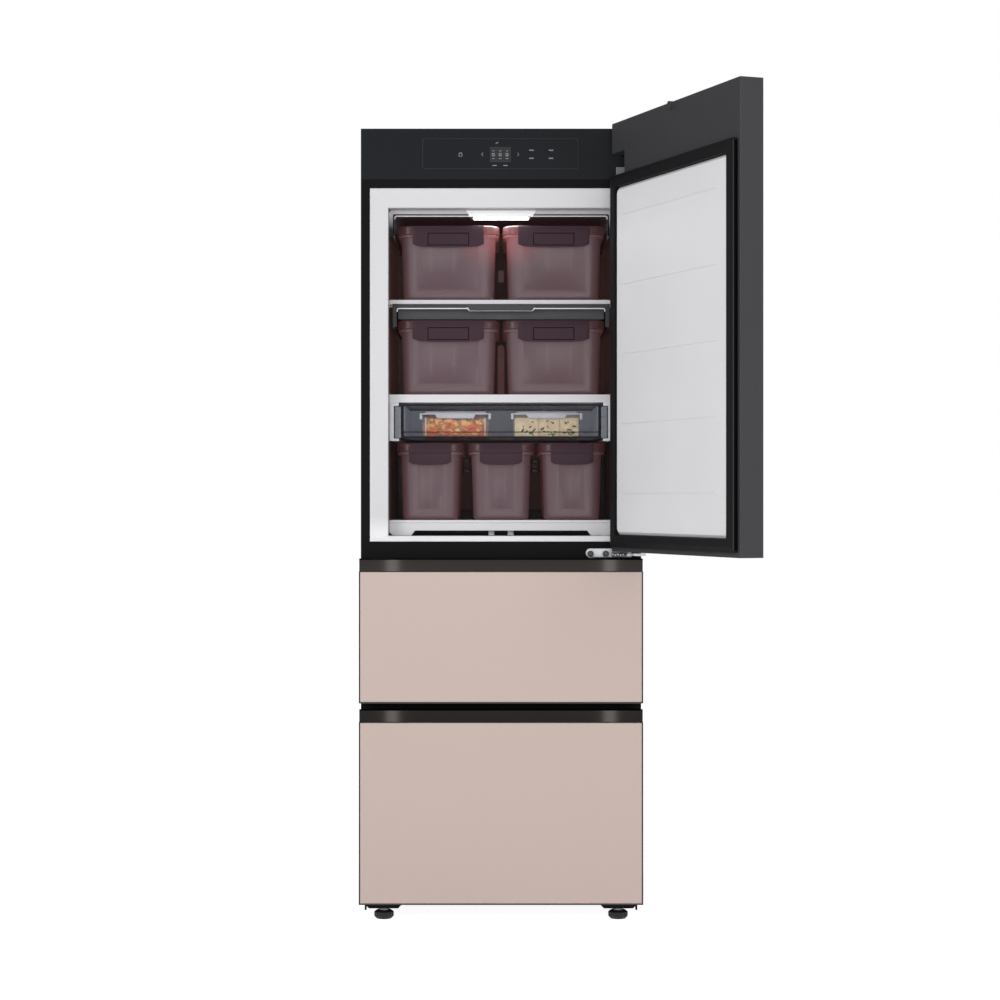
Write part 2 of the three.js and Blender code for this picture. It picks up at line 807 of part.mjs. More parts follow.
// ---------- Air tunnels, lamp, shelves ----------
// Front view of an air tunnel: a flat roof with a skirt at each side and rounded shoulders.
function tunnelShape(top, skirt) {
  const half = cavityHalf - tunnelInset;
  const inner = half - tunnelWall;
  const middle = half - tunnelCorner;
  const shoulder = top - tunnelCorner;
  const innerRadius = tunnelCorner - tunnelWall;
  const quarter = Math.PI / 2;
  const shape = new THREE.Shape();
  shape.moveTo(half, top - skirt);
  shape.lineTo(half, shoulder);
  shape.absarc(middle, shoulder, tunnelCorner, 0, quarter);
  shape.lineTo(-middle, top);
  shape.absarc(-middle, shoulder, tunnelCorner, quarter, 2 * quarter);
  shape.lineTo(-half, top - skirt);
  shape.lineTo(-inner, top - skirt);
  shape.lineTo(-inner, shoulder);
  shape.absarc(-middle, shoulder, innerRadius, 2 * quarter, quarter, true);
  shape.lineTo(middle, top - tunnelWall);
  shape.absarc(middle, shoulder, innerRadius, quarter, 0, true);
  shape.lineTo(inner, top - skirt);
  shape.closePath();
  return shape;
}

// Front view of the trapezoid that hangs in the middle of a tunnel's roof.
function lampShape(top, drop) {
  const half = lampWidth / 2;
  return polygon([
    [-half, top],
    [-half + lampSlope, top - drop],
    [half - lampSlope, top - drop],
    [half, top],
  ]);
}

function ceilingTunnel() {
  const roof = prism("y", tunnelShape(tunnelTop, tunnelSkirt), tunnelFront, shelfBack);
  const lamp = prism("y", lampShape(lampTop, lampDrop), tunnelFront, tunnelFront + lampDepth);
  const recess = slab(
    lensHalf,
    [lensFront, lampBottom - over],
    [lensBack, lampBottom + lampLensThickness + seat],
  );
  return cut(join(roof, lamp), recess);
}

function lampLens() {
  return slab(
    lensHalf - seat,
    [lensFront + seat, lampBottom],
    [lensBack - seat, lampBottom + lampLensThickness],
  );
}

function upperShelf() {
  const plate = slab(shelfHalf, [shelfFront, upperShelfBottom], [shelfBack, upperShelfTop]);
  const top = upperShelfBottom + over;
  const front = shelfFront + shelfTunnelSetback;
  const back = shelfBack - shelfTunnelSetback;
  const tunnel = prism("y", tunnelShape(top, shelfTunnelSkirt), front, back);
  const hanger = prism("y", lampShape(top, hangerDrop), front, front + lampDepth);
  return join(plate, tunnel, hanger);
}

// The shelf over the snack tray, with a hooked bracket under each side for the tray's runners.
function middleShelf() {
  const plate = slab(shelfHalf, [shelfFront, middleShelfBottom], [shelfBack, middleShelfTop]);
  const outer = cavityHalf - bracketInset;
  const back = shelfBack - bracketShortfall;
  const brackets = bothSides((side) => {
    const web = block(
      [side * outer, shelfFront, trayRailBottom],
      [side * (outer - bracketThickness), back, middleShelfBottom + over],
    );
    const lip = block(
      [side * outer, shelfFront, trayRailBottom],
      [side * (cavityHalf - trayRailInset), back, trayRailBottom + trayRailThickness],
    );
    return join(web, lip);
  });
  return join(plate, ...brackets);
}

function floorDeck() {
  const half = shelfHalf;
  const foot = cavityFloor + seat;
  const rimBottom = deckTop - deckRim;
  const plateBottom = rimBottom - deckPlate;
  const legEnd = half - deckLegWidth;
  const front = polygon([
    [-half, rimBottom],
    [-half, foot + deckChamfer],
    [-half + deckChamfer, foot],
    [-legEnd, foot],
    [-legEnd + deckLegSlope, plateBottom],
    [legEnd - deckLegSlope, plateBottom],
    [legEnd, foot],
    [half - deckChamfer, foot],
    [half, foot + deckChamfer],
    [half, rimBottom],
  ]);
  const body = prism("y", front, shelfFront + deckBodySetback, shelfBack);
  const rim = slab(half, [shelfFront, rimBottom - over], [shelfBack, deckTop]);
  const postFront = shelfFront + postSetback;
  const posts = bothSides((side) =>
    block(
      [side * postOffset - postHalf, postFront, foot],
      [side * postOffset + postHalf, postFront + 2 * postHalf, plateBottom + over],
    ),
  );
  return join(body, rim, ...posts);
}

// ---------- Cold air duct, evaporator ----------
function ductOutline(inset) {
  const half = ductHalf - inset;
  return roundedShape(-half, half, ductBottom + inset, ductTop - inset, ductCorner - inset);
}

function ductVents() {
  const levels = [deckTop, middleShelfTop, upperShelfTop];
  const rows = Array.from({ length: ventRows }, (_, row) => ventRise + row * ventPitch);
  return levels.flatMap((level) =>
    rows.flatMap((rise) =>
      bothSides((side) =>
        block(
          [side * ventInner, ductFront - over, level + rise],
          [side * ventOuter, ductFront + shellWall + over, level + rise + ventHeight],
        ),
      ),
    ),
  );
}

function rearDuct() {
  const shell = prism("y", ductOutline(0), ductFront, ductBack);
  const rib = slab(
    ductRibHalf,
    [ductFront - ductRibProud, ductBottom + ductCorner],
    [ductFront + over, ductTop - ductCorner],
  );
  const inside = prism("y", ductOutline(shellWall), ductFront + shellWall, ductBack + over);
  const motorFront = ductFront + over;
  const motor = rod("y", [0, coolingFanZ], fanHubRadius, motorFront, motorFront + coolingMotorDepth);
  return join(cut(join(shell, rib), inside, ...ductVents()), motor);
}

// Finned coil: a block cut by slots from its front, hung on the compartment's back wall.
function evaporator() {
  const half = ductHalf - coilInset;
  const front = ductFront + shellWall + coilGap;
  const bottom = ductBottom + coilRise;
  const top = bottom + coilHeight;
  const pitch = (2 * half) / finCount;
  const slots = Array.from({ length: finCount - 1 }, (_, i) => {
    const x = -half + (i + 1) * pitch;
    return block(
      [x - pitch / 4, front - over, bottom - over],
      [x + pitch / 4, ductBack - coilBack, top + over],
    );
  });
  return cut(slab(half, [front, bottom], [ductBack, top]), ...slots);
}

// ---------- Machines ----------
// Rotor about the vertical axis: a hub with pitched blades, flat at the bottom against its motor.
function fanRotor(radius) {
  const hub = solidOf(
    turned([
      [0, 0],
      [fanHubRadius, 0],
      [fanHubRadius, fanDepth - fanHubRound],
      [fanHubRadius - fanHubRound, fanDepth],
      [0, fanDepth],
    ], 2 * holeSteps),
  );
  const root = fanHubRadius - fanHubRound;
  const shape = new THREE.Shape();
  // The blade's outline, as shares of the fan's radius.
  shape.moveTo(root, -0.12 * radius);
  shape.quadraticCurveTo(0.6 * radius, -0.42 * radius, radius, -0.2 * radius);
  shape.quadraticCurveTo(1.04 * radius, 0, 0.92 * radius, 0.24 * radius);
  shape.quadraticCurveTo(0.6 * radius, 0.16 * radius, root, 0.12 * radius);
  const layer = block([-2 * radius, -2 * radius, over], [2 * radius, 2 * radius, fanDepth - over]);
  const blades = Array.from({ length: fanBlades }, (_, i) => {
    const blade = new THREE.ExtrudeGeometry(shape, {
      depth: bladeThickness,
      bevelEnabled: false,
      curveSegments: arcSteps,
    });
    blade.translate(0, 0, -bladeThickness / 2).rotateX(THREE.MathUtils.degToRad(bladePitch));
    blade.translate(0, 0, fanDepth / 2).rotateZ((2 * Math.PI * i) / fanBlades);
    return solidOf(blade).intersect(layer);
  });
  return join(hub, ...blades);
}

// A welded shell on a rubber-footed plate, with the stub of its pipe.
function compressor() {
  const r = compressorRadius;
  const h = compressorHeight;
  const shell = turned([
    [0, compressorLift],
    [r * 0.8, compressorLift],
    [r * 0.97, h * 0.15],
    [r, h * 0.24],
    [r, h * 0.6],
    [r * 0.93, h * 0.78],
    [r * 0.72, h * 0.92],
    [r * 0.4, h],
    [0, h],
  ], 24);
  const half = r * 1.2;
  const depth = r * 0.9;
  const padBottom = compressorLift - compressorPad / 2;
  const outline = roundedShape(-half, half, -depth, depth, r / 4);
  const pad = prism("z", outline, padBottom, padBottom + compressorPad);
  const grommets = bothSides((sideX) =>
    bothSides((sideY) =>
      rod("z", [sideX * r * 0.98, sideY * r * 0.68], grommetRadius, 0, grommetHeight, 6),
    ),
  ).flat();
  const stub = rod("x", [0, h * 0.45], stubRadius, 0, r + stubReach, 5);
  return join(solidOf(shell), pad, ...grommets, stub);
}

function machineCover() {
  const half = machineRoomHalf + coverMargin;
  const bottom = machineCoverBottom;
  const back = caseDepth - seat;
  const front = back - coverThickness;
  const outline = roundedShape(-half, half, bottom, machineCoverTop, coverCorner);
  const plate = prism("y", outline, front, back);
  const pitch = (2 * (half - louvreMargin)) / louvreColumns;
  const louvres = Array.from({ length: louvreRows * louvreColumns }, (_, i) => {
    const x = -half + louvreMargin + (i % louvreColumns) * pitch;
    const z = bottom + louvreRise + Math.floor(i / louvreColumns) * louvrePitch;
    return block(
      [x + louvreGap / 2, front - over, z],
      [x + pitch - louvreGap / 2, back + over, z + louvreHeight],
    );
  });
  const place = [half - outletInset, bottom + outletRise];
  return cut(plate, ...louvres, rod("y", place, outletRadius, front - over, back + over));
}

// ---------- Feet and rollers ----------
// A levelling foot: a round pad on a stem that screws into its bracket.
function foot() {
  const r = footRadius;
  const h = footPadHeight;
  const stemTop = lowerFrontBottom - footTopGap;
  return turned([
    [0, 0],
    [r * 0.62, 0],
    [r * 0.92, h * 0.15],
    [r, h * 0.4],
    [r, h * 0.65],
    [r * 0.86, h * 0.94],
    [r * 0.7, h],
    [footStemRadius, h],
    [footStemRadius, stemTop],
    [0, stemTop],
  ], 20);
}

// Two rollers fixed on one axle, drawn round the axle.
function rearRollers() {
  const inner = caseHalf - rollerInset - rollerWidth / 2;
  const outer = inner + rollerWidth;
  const end = outer + rollerRound;
  const tread = rollerRadius - rollerRound;
  const wheel = [
    [rollerAxleRadius, inner],
    [tread, inner],
    [rollerRadius, inner + rollerRound],
    [rollerRadius, outer - rollerRound],
    [tread, outer],
    [rollerAxleRadius, outer],
    [rollerAxleRadius, end],
    [0, end],
  ];
  const otherWheel = wheel.map(([radius, place]) => [radius, -place]).reverse();
  return turned([...otherWheel, ...wheel], 20).rotateY(Math.PI / 2);
}

// ---------- Hinges ----------
const hingePin = (bottom, top) => rod("z", [pivotX, -pivotForward], pinRadius, bottom, top);

// Arm seen from above: a round boss at the pin, and a straight neck that leans in to the cabinet.
function hingeArm(bottom, lean) {
  const top = bottom + hingeArmThickness;
  const footX = pivotX - lean;
  const boss = rod("z", [pivotX, -pivotForward], hingeBoss, bottom, top);
  const neck = polygon([
    [pivotX - hingeBoss, -pivotForward],
    [pivotX + hingeBoss - hingeNeckTaper, -pivotForward],
    [footX + hingeNeckHalf, -seat],
    [footX - hingeNeckHalf, -seat],
  ]);
  return join(boss, prism("z", neck, bottom, top));
}

function upperHinge() {
  const footX = pivotX - upperHingeLean;
  const plate = block(
    [footX - hingeNeckHalf, -seat - hingePlateThickness, upperArmBottom],
    [footX + hingeNeckHalf, -seat, upperArmBottom + upperPlateHeight],
  );
  const pin = hingePin(upperArmBottom, hingePocketTop + pinEngagement);
  return join(hingeArm(upperArmBottom, upperHingeLean), plate, pin);
}

// A long plate on the cabinet's front with a rounded end, its screws, and the arm that carries the door.
function lowerHinge() {
  const round = lowerPlateHeight / 2;
  const middle = lowerPlateBottom + round;
  const top = lowerPlateBottom + lowerPlateHeight;
  const left = pivotX - lowerPlateReach;
  const right = pivotX + lowerPlateEnd;
  const outline = new THREE.Shape();
  outline.moveTo(left + round, lowerPlateBottom);
  outline.lineTo(right, lowerPlateBottom);
  outline.lineTo(right, top);
  outline.lineTo(left + round, top);
  outline.absarc(left + round, middle, round, Math.PI / 2, (3 * Math.PI) / 2);
  const face = -seat - hingePlateThickness;
  const plate = prism("y", outline, face, -seat);
  const armBottom = lowerPlateBottom + lowerArmRise;
  const pin = hingePin(armBottom, doorBottom + pinEngagement);
  const stop = block(
    [pivotX, -pivotForward - stopHalf, armBottom],
    [doorHalf + stopReach, -pivotForward + stopHalf, armBottom + hingeArmThickness],
  );
  const heads = screwOffsets.map((offset) =>
    rod("y", [left + offset, middle], screwRadius, face - screwProud, face + over, 6),
  );
  return join(plate, hingeArm(armBottom, lowerHingeLean), pin, stop, ...heads);
}

// ---------- Door ----------
// A solid front with a shallow pocket in its outer face for the panel.
function frontBody(half, bottom, top, panelTop) {
  return cut(
    slab(half, [outerFace, bottom], [innerFace, top]),
    slab(
      half - panelMargin,
      [outerFace - over, bottom + panelMargin],
      [outerFace + panelThickness, panelTop],
    ),
  );
}

// The panel in that pocket, with a fine bevel round its visible edge.
function frontPanel(frontHalfWidth, bottom, top) {
  const ring = (inset, y) => ({
    half: frontHalfWidth - panelMargin - seat - inset,
    low: bottom + panelMargin + seat + inset,
    high: top - inset,
    corner: panelCorner,
    y,
  });
  return uprightLoft([
    ring(panelBevel, outerFace),
    ring(0, outerFace + panelBevel),
    ring(0, outerFace + panelThickness - seat),
  ]);
}

const pinHole = (bottom, top) => rod("z", [pivotX, -pivotForward], pinRadius + seat, bottom, top);

function doorFrame() {
  const body = frontBody(doorHalf, doorBottom, doorTop, doorTop - panelMargin);
  const hingePocket = block(
    [doorHalf - hingePocketWidth, outerFace + panelThickness + hingePocketSkin, hingePocketBottom],
    [doorHalf + over, innerFace + over, hingePocketTop],
  );
  const linerPocket = slab(
    doorLinerHalf + seat,
    [innerFace - doorLinerSunk - seat, doorLinerBottom - seat],
    [innerFace + over, doorLinerTop + seat],
  );
  const grooveX = -doorHalf + doorGrooveInset;
  const groove = block(
    [grooveX, innerFace - doorGrooveDepth, doorGasketBottom],
    [grooveX + doorGrooveWidth, innerFace + over, doorGasketTop],
  );
  const cornerOut = hingeEdgeChamfer + over;
  const turningEdge = polygon([
    [doorHalf - cornerOut, innerFace + over],
    [doorHalf + over, innerFace - cornerOut],
    [doorHalf + over, innerFace + over],
  ]);
  const chamfer = prism("z", turningEdge, doorBottom - over, doorTop + over);
  const bumperZ = doorTop - bumperRadius + bumperRise;
  const bumper = rod("y", [0, bumperZ], bumperRadius, innerFace - over, innerFace + bumperHeight);
  const depth = pinEngagement + pinEndGap;
  const holes = [
    pinHole(doorBottom - over, doorBottom + depth),
    pinHole(hingePocketTop - over, hingePocketTop + depth),
  ];
  return join(cut(body, hingePocket, linerPocket, groove, chamfer, ...holes), bumper);
}

// The door's inner skin: a sheet with sloping edges and a row of faint ribs across it.
function doorLiner() {
  const ring = (inset, y) => ({
    half: doorLinerHalf - inset,
    low: doorLinerBottom + inset,
    high: doorLinerTop - inset,
    corner: doorLinerCorner,
    y,
  });
  const face = innerFace + doorLinerProud;
  const sheet = uprightLoft([
    ring(0, innerFace - doorLinerSunk),
    ring(0, innerFace + over),
    ring(doorLinerSlope, face),
  ]);
  const firstRib = doorLinerBottom + ribRise;
  const ribPitch = (doorLinerTop - ribTopRoom - firstRib) / (ribCount - 1);
  const ribs = Array.from({ length: ribCount }, (_, i) => {
    const z = firstRib + i * ribPitch;
    return block(
      [-doorLinerHalf + ribFreeEnd, face - over, z],
      [doorLinerHalf - ribHingeEnd, face + ribProud, z + ribHeight],
    );
  });
  return join(sheet, ...ribs);
}

// A seal ring on the inner face of a front. Its outer side leans in to a narrower sealing strip, so
// that the corner beyond the hinge pin clears the cabinet as the door turns.
function gasket(bottom, top) {
  const ring = (inset, y) => ({
    half: gasketHalf - inset,
    low: bottom + inset,
    high: top - inset,
    corner: gasketCorner,
    y,
  });
  const front = innerFace + seat;
  const back = -gasketRelief;
  return cut(
    uprightLoft([ring(0, front), ring(0, back - gasketShoulder), ring(gasketLean, back)]),
    uprightLoft([ring(gasketWidth, front - over), ring(gasketWidth, back + over)]),
  );
}

// ---------- Drawers ----------
function drawerPieces(group, name, { bottom, top }, cavity) {
  const handleBottom = top - handleHeight;
  const bodyTop = handleBottom - seat;
  const panelTop = bodyTop - over;
  const armTop = cavity.top - armDrop;
  const arms = bothSides((side) =>
    block(
      [side * armOuter, innerFace - over, armTop - armHeight],
      [side * armInner, armLength, armTop],
    ),
  );
  const frame = join(frontBody(frontHalf, bottom, bodyTop, panelTop), ...arms);
  const sealBottom = cavity.floor - gasketAbove - gasketWidth;
  const sealTop = cavity.top + gasketAbove + gasketWidth;
  piece(group, name + "_frame", frame, "trim");
  piece(group, name + "_panel", frontPanel(frontHalf, bottom, panelTop - seat), "panel");
  piece(group, name + "_handle", drawerHandle(handleBottom, top), "zinc");
  piece(group, name + "_gasket", gasket(sealBottom, sealTop), "rubber");
  piece(group, name + "_bin", drawerBin(cavity.floor + binFloorGap, armTop), "liner");
}

// The grip strip: a metal section along the top of a front, with a finger groove open upwards.
function drawerHandle(bottom, top) {
  const front = outerFace + handleSetback;
  const grooveFront = front + handleLip;
  const grooveBack = grooveFront + handleGrooveWidth;
  const floor = top - handleGrooveDepth;
  const backTop = top - handleBackDrop;
  const section = polygon([
    [front, bottom],
    [innerFace, bottom],
    [innerFace, backTop - handleRound],
    [innerFace - handleRound, backTop],
    [grooveBack, backTop],
    [grooveBack - handleRound / 2, floor + handleRound],
    [grooveBack - 1.5 * handleRound, floor],
    [grooveFront + 1.5 * handleRound, floor],
    [grooveFront + handleRound / 2, floor + handleRound],
    [grooveFront, top - handleRound / 2],
    [grooveFront - handleRound / 2, top],
    [front + handleRound, top],
    [front, top - handleRound],
  ]);
  return prism("x", section, -caseHalf, caseHalf);
}

// An open bin with drawn-in walls, hung by its rim on the drawer's arms.
function drawerBin(floor, armTop) {
  const half = armInner - runClearance;
  const size = { half, front: binStart, back: binBack, corner: binCorner };
  const ring = (inset, z) => planRing(size, inset, z);
  const rimBottom = armTop + seat;
  const top = armTop + binRise;
  const base = binDraft + binFoot;
  const outer = loft([ring(base, floor), ring(binDraft, floor + binFoot), ring(0, top)]);
  const inner = loft([
    ring(base + binWall, floor + binWall),
    ring(binDraft + binWall, floor + binWall + binFoot),
    ring(binWall, top + over),
  ]);
  const rimSize = { ...size, half: armOuter - binRimInset };
  const rim = cut(
    loft([planRing(rimSize, 0, rimBottom), planRing(rimSize, 0, rimBottom + binRimThickness)]),
    loft([ring(binRimOverlap, rimBottom - over), ring(binRimOverlap, rimBottom + binRimThickness + over)]),
  );
  return join(cut(outer, inner), rim);
}

// ---------- Snack tray and side dish boxes ----------
function snackTray() {
  const runnerOuter = cavityHalf - bracketInset - bracketThickness - trayRunnerGap;
  const half = runnerOuter - trayRunnerReach;
  const back = trayFront + trayDepth;
  const size = { half, front: trayFront, back, corner: trayCorner };
  const ring = (inset, z) => planRing(size, inset, z);
  const shell = cut(
    loft([ring(trayFoot, trayBottom), ring(0, trayBottom + trayFootHeight), ring(0, trayTop)]),
    loft([
      ring(trayFoot + trayWall, trayFloorTop),
      ring(trayWall, trayFloorTop + trayFootHeight),
      ring(trayWall, trayTop + over),
    ]),
  );
  const runners = bothSides((side) =>
    block(
      [side * (half - over), trayFront + trayRunnerShortfall, trayBottom],
      [side * runnerOuter, back - trayRunnerShortfall, trayBottom + trayRunnerHeight],
    ),
  );
  const rib = slab(
    half - trayRibInset,
    [trayFront - trayRibProud, trayBottom + trayRibRise],
    [trayFront + over, trayBottom + trayRibRise + trayRibHeight],
  );
  return join(shell, ...runners, rib);
}

const boxPlan = { half: boxWidth / 2, front: 0, back: boxDepth, corner: boxCorner };
const boxRing = (inset, z) => planRing(boxPlan, inset, z);

function sideDishBox() {
  const top = boxHeight - boxLidHeight;
  const rimBottom = top - boxRim;
  return cut(
    loft([
      boxRing(boxRim + boxDraft, 0),
      boxRing(boxRim + boxFoot, boxRim),
      boxRing(boxRim, rimBottom),
      boxRing(over, rimBottom),
      boxRing(over, top),
    ]),
    loft([
      boxRing(boxRim + boxDraft + boxWall, boxWall),
      boxRing(boxRim + boxFoot + boxWall, boxRim + boxWall),
      boxRing(boxRim + boxWall, top + over),
    ]),
  );
}

// A snap lid with a raised middle and a notch for the thumb in its front edge.
function sideDishLid() {
  const bottom = boxHeight - boxLidHeight + seat;
  const shoulder = boxHeight - boxLidHeight / 2;
  const plate = loft([
    boxRing(over, bottom),
    boxRing(0, bottom + over),
    boxRing(0, shoulder),
    boxRing(boxLidStep - over, shoulder),
    boxRing(boxLidStep, boxHeight),
  ]);
  const notch = slab(notchHalf, [-over, shoulder - over], [boxLidStep + over, boxHeight + over]);
  return cut(plate, notch);
}

// ---------- Kimchi containers ----------
// Plan outline of a container, at some inset from the lid's edge; y = 0 is the lid's front edge.
function containerRing({ lidWidth }, inset, z) {
  const plan = { half: lidWidth / 2, front: 0, back: containerDepth, corner: containerCorner };
  return planRing(plan, inset, z);
}

const ridgeTopOf = (size) => size.height - lidSkirt - ridgeDrop;

function tub(size) {
  const ring = (inset, z) => containerRing(size, inset, z);
  const wall = lidOverhang;
  const base = lidOverhang + tubDraft;
  const rim = size.height - lidPlate - seat;
  const ridgeTop = ridgeTopOf(size);
  const ridgeBottom = ridgeTop - ridgeHeight;
  const outer = loft([
    ring(base + tubFoot, 0),
    ring(base + tubFoot / 3, tubFootHeight / 3),
    ring(base, tubFootHeight),
    ring(wall, ridgeBottom),
    ring(ridgeInset, ridgeBottom),
    ring(ridgeInset, ridgeTop),
    ring(wall, ridgeTop),
    ring(wall, rim),
  ]);
  const inner = loft([
    ring(base + tubFoot + containerWall, containerWall),
    ring(base + containerWall, tubFootHeight + containerWall),
    ring(wall + containerWall, rim + over),
  ]);
  return cut(outer, inner);
}

function lid(size) {
  const ring = (inset, z) => containerRing(size, inset, z);
  const bottom = size.height - lidSkirt;
  const pocketInset = lidOverhang - over;
  const outer = loft([
    ring(over, bottom),
    ring(0, bottom + over),
    ring(0, size.height - lidEdge),
    ring(0.3 * lidEdge, size.height - 0.3 * lidEdge),
    ring(lidEdge, size.height),
  ]);
  const pocket = loft([
    ring(pocketInset, bottom - over),
    ring(pocketInset, size.height - lidPlate),
  ]);
  const dish = loft([
    ring(lidDishInset + lidDish, size.height - lidDish),
    ring(lidDishInset, size.height + over),
  ]);
  return cut(outer, pocket, dish);
}

// Side view of a latch round its hinge axis: a knuckle, a plate, and the hook under the tub's ridge.
function latchSide(size) {
  const r = latchThickness / 2;
  const bottom = r - latchHeight - latchBow;
  const inside = r - over;
  const hookTop = ridgeTopOf(size) - ridgeHeight - latchHookGap - latchAxisZ(size);
  const hookTip = latchHookReach - latchThickness - latchAxisY;
  const side = new THREE.Shape();
  side.moveTo(-r, bottom);
  side.lineTo(inside, bottom);
  side.lineTo(inside, hookTop - latchHookHeight);
  side.lineTo(hookTip, hookTop - latchHookHeight + over);
  side.lineTo(hookTip, hookTop);
  side.lineTo(inside, hookTop);
  side.lineTo(r, hookTop + over);
  side.lineTo(r, 0);
  side.absarc(0, 0, r, 0, Math.PI);
  side.closePath();
  return side;
}

// Front view of a latch: square at the top, with rounded corners and a bowed edge at the bottom.
function latchFront(half) {
  const top = latchThickness / 2;
  const bottom = top - latchHeight;
  const cornerX = half - latchCornerWidth;
  const cornerZ = bottom + latchCornerHeight;
  const front = new THREE.Shape();
  front.moveTo(-half, top);
  front.lineTo(-half, cornerZ);
  front.quadraticCurveTo(-half, bottom, -cornerX, bottom);
  front.quadraticCurveTo(0, bottom - 2 * latchBow, cornerX, bottom);
  front.quadraticCurveTo(half, bottom, half, cornerZ);
  front.lineTo(half, top);
  front.closePath();
  return front;
}

function latch(size) {
  const half = size.latchWidth / 2;
  const r = latchThickness / 2;
  const upright = prism("y", latchFront(half), -latchThickness, latchThickness + latchHookReach);
  const plate = prism("x", latchSide(size), -half, half).intersect(upright);
  return cut(plate, size.padWidth ? thumbPad(size.padWidth, r) : latchLine(half, r));
}

// The shallow thumb pad sunk in the latch of a large container.
function thumbPad(width, r) {
  const bottom = r - latchHeight + latchPadRise;
  return slab(width / 2, [-r - over, bottom], [-r + latchPadDepth, bottom + latchPadHeight]);
}

// The fine groove across the latch of a small container.
function latchLine(half, r) {
  const bottom = -latchLineDrop - latchLineHeight;
  return slab(half + over, [-r - over, bottom], [-r + latchLineHeight / 2, -latchLineDrop]);
}

function containers(group) {
  const largeX = (large.lidWidth + largeGap) / 2;
  const smallX = small.lidWidth + smallGap;
  const places = [
    ["upper_left", large, -largeX, upperShelfTop],
    ["upper_right", large, largeX, upperShelfTop],
    ["middle_left", large, -largeX, middleShelfTop],
    ["middle_right", large, largeX, middleShelfTop],
    ["lower_left", small, -smallX, deckTop],
    ["lower_centre", small, 0, deckTop],
    ["lower_right", small, smallX, deckTop],
  ];
  for (const [name, size, x, shelf] of places) {
    const container = new THREE.Group();
    container.position.set(x, containerFront, shelf + seat);
    piece(container, "tub_" + name, tub(size), "tub");
    piece(container, "lid_" + name, lid(size), "lid");
    const flap = piece(container, "latch_" + name, latch(size), "lid");
    flap.position.set(0, latchAxisY, latchAxisZ(size));
    group.add(container);
  }
}

// ---------- Assembly ----------
const fridge = new THREE.Group();

piece(fridge, "cabinet_case", cabinetCase(), "steel");
piece(fridge, "upper_liner", upperLiner(), "liner");
piece(fridge, "drawer_liner", drawerLiner(), "liner");
piece(fridge, "header_cover", headerCover(), "glass");
piece(fridge, "ceiling_tunnel", ceilingTunnel(), "grey");
piece(fridge, "lamp_lens", lampLens(), "lamp");
piece(fridge, "upper_shelf", upperShelf(), "liner");
piece(fridge, "middle_shelf", middleShelf(), "liner");
piece(fridge, "floor_deck", floorDeck(), "liner");
piece(fridge, "rear_duct", rearDuct(), "grey");
piece(fridge, "evaporator", evaporator(), "fin");
piece(fridge, "machine_cover", machineCover(), "grey");
piece(fridge, "upper_hinge", upperHinge(), "zinc");
piece(fridge, "lower_hinge", lowerHinge(), "zinc");

const coolingFan = piece(fridge, "cooling_fan", fanRotor(coolingFanRadius), "grey");
coolingFan.rotation.x = -Math.PI / 2;
coolingFan.position.set(0, ductFront + over + coolingMotorDepth + seat, coolingFanZ);

const machineFan = piece(fridge, "machine_fan", fanRotor(machineFanRadius), "grey");
machineFan.rotation.y = -Math.PI / 2;
machineFan.position.set(machineFanX, machineRoomMiddle, machineFanZ);

const pump = piece(fridge, "compressor", compressor(), "steel");
pump.position.set(-machineRoomHalf / 2, machineRoomMiddle, machineRoomFloor + seat);

for (const [name, side] of [["left", -1], ["right", 1]]) {
  const adjuster = piece(fridge, "front_foot_" + name, foot(), "rubber");
  adjuster.position.set(side * (caseHalf - footInset), -footForward, 0);
}
const rollers = piece(fridge, "rear_rollers", rearRollers(), "rubber");
rollers.position.set(0, caseDepth - rollerBack, rollerRadius);

// The door is drawn closed, and swings about the hinge pins.
const swing = new THREE.Group();
swing.position.set(pivotX, -pivotForward, 0);
swing.rotation.z = THREE.MathUtils.degToRad(doorOpenAngle);
fridge.add(swing);
const door = new THREE.Group();
door.position.set(-pivotX, pivotForward, 0);
swing.add(door);
piece(door, "door_frame", doorFrame(), "trim");
piece(door, "door_panel", frontPanel(doorHalf, doorBottom, doorTop - panelMargin - seat), "panel");
piece(door, "door_liner", doorLiner(), "liner");
piece(door, "door_gasket", gasket(doorGasketBottom, doorGasketTop), "rubber");

const upperFront = { bottom: upperFrontBottom, top: upperFrontTop };
const lowerFront = { bottom: lowerFrontBottom, top: lowerFrontTop };
drawerPieces(fridge, "upper_drawer", upperFront, upperCavity);
drawerPieces(fridge, "lower_drawer", lowerFront, lowerCavity);

piece(fridge, "snack_tray", snackTray(), "clear");
for (const [name, side] of [["left", -1], ["right", 1]]) {
  const box = new THREE.Group();
  box.position.set((side * boxSpacing) / 2, trayFront + trayWall + boxSetback, trayFloorTop + seat);
  piece(box, "side_dish_box_" + name, sideDishBox(), "clear");
  piece(box, "side_dish_lid_" + name, sideDishLid(), "clear");
  fridge.add(box);
}

containers(fridge);

// The origin is the middle of the base of the whole thing, with the door open as it stands.
const extent = new THREE.Box3().setFromObject(fridge, true);
const centre = extent.getCenter(new THREE.Vector3());
fridge.position.set(-centre.x, -centre.y, -extent.min.z);
const root = new THREE.Group();
root.add(fridge);

export default root;
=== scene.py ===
# %% [markdown]
# # A kimchi refrigerator, dressed for its photograph
# The solids come packed from CAD and stay where they are: the case, the white liner, the shelves,
# the drawers and the open door. This script gives every surface a procedural finish, and models
# again the pieces whose charm is in their rounded forms: the storage tubs with their latched lids,
# the clear tray with its dish boxes, and the feet. All of it is in metres, in the frame of the
# solids.

import json
import math
import random
from contextlib import contextmanager

import bmesh
import bpy
from mathutils import Matrix, Vector


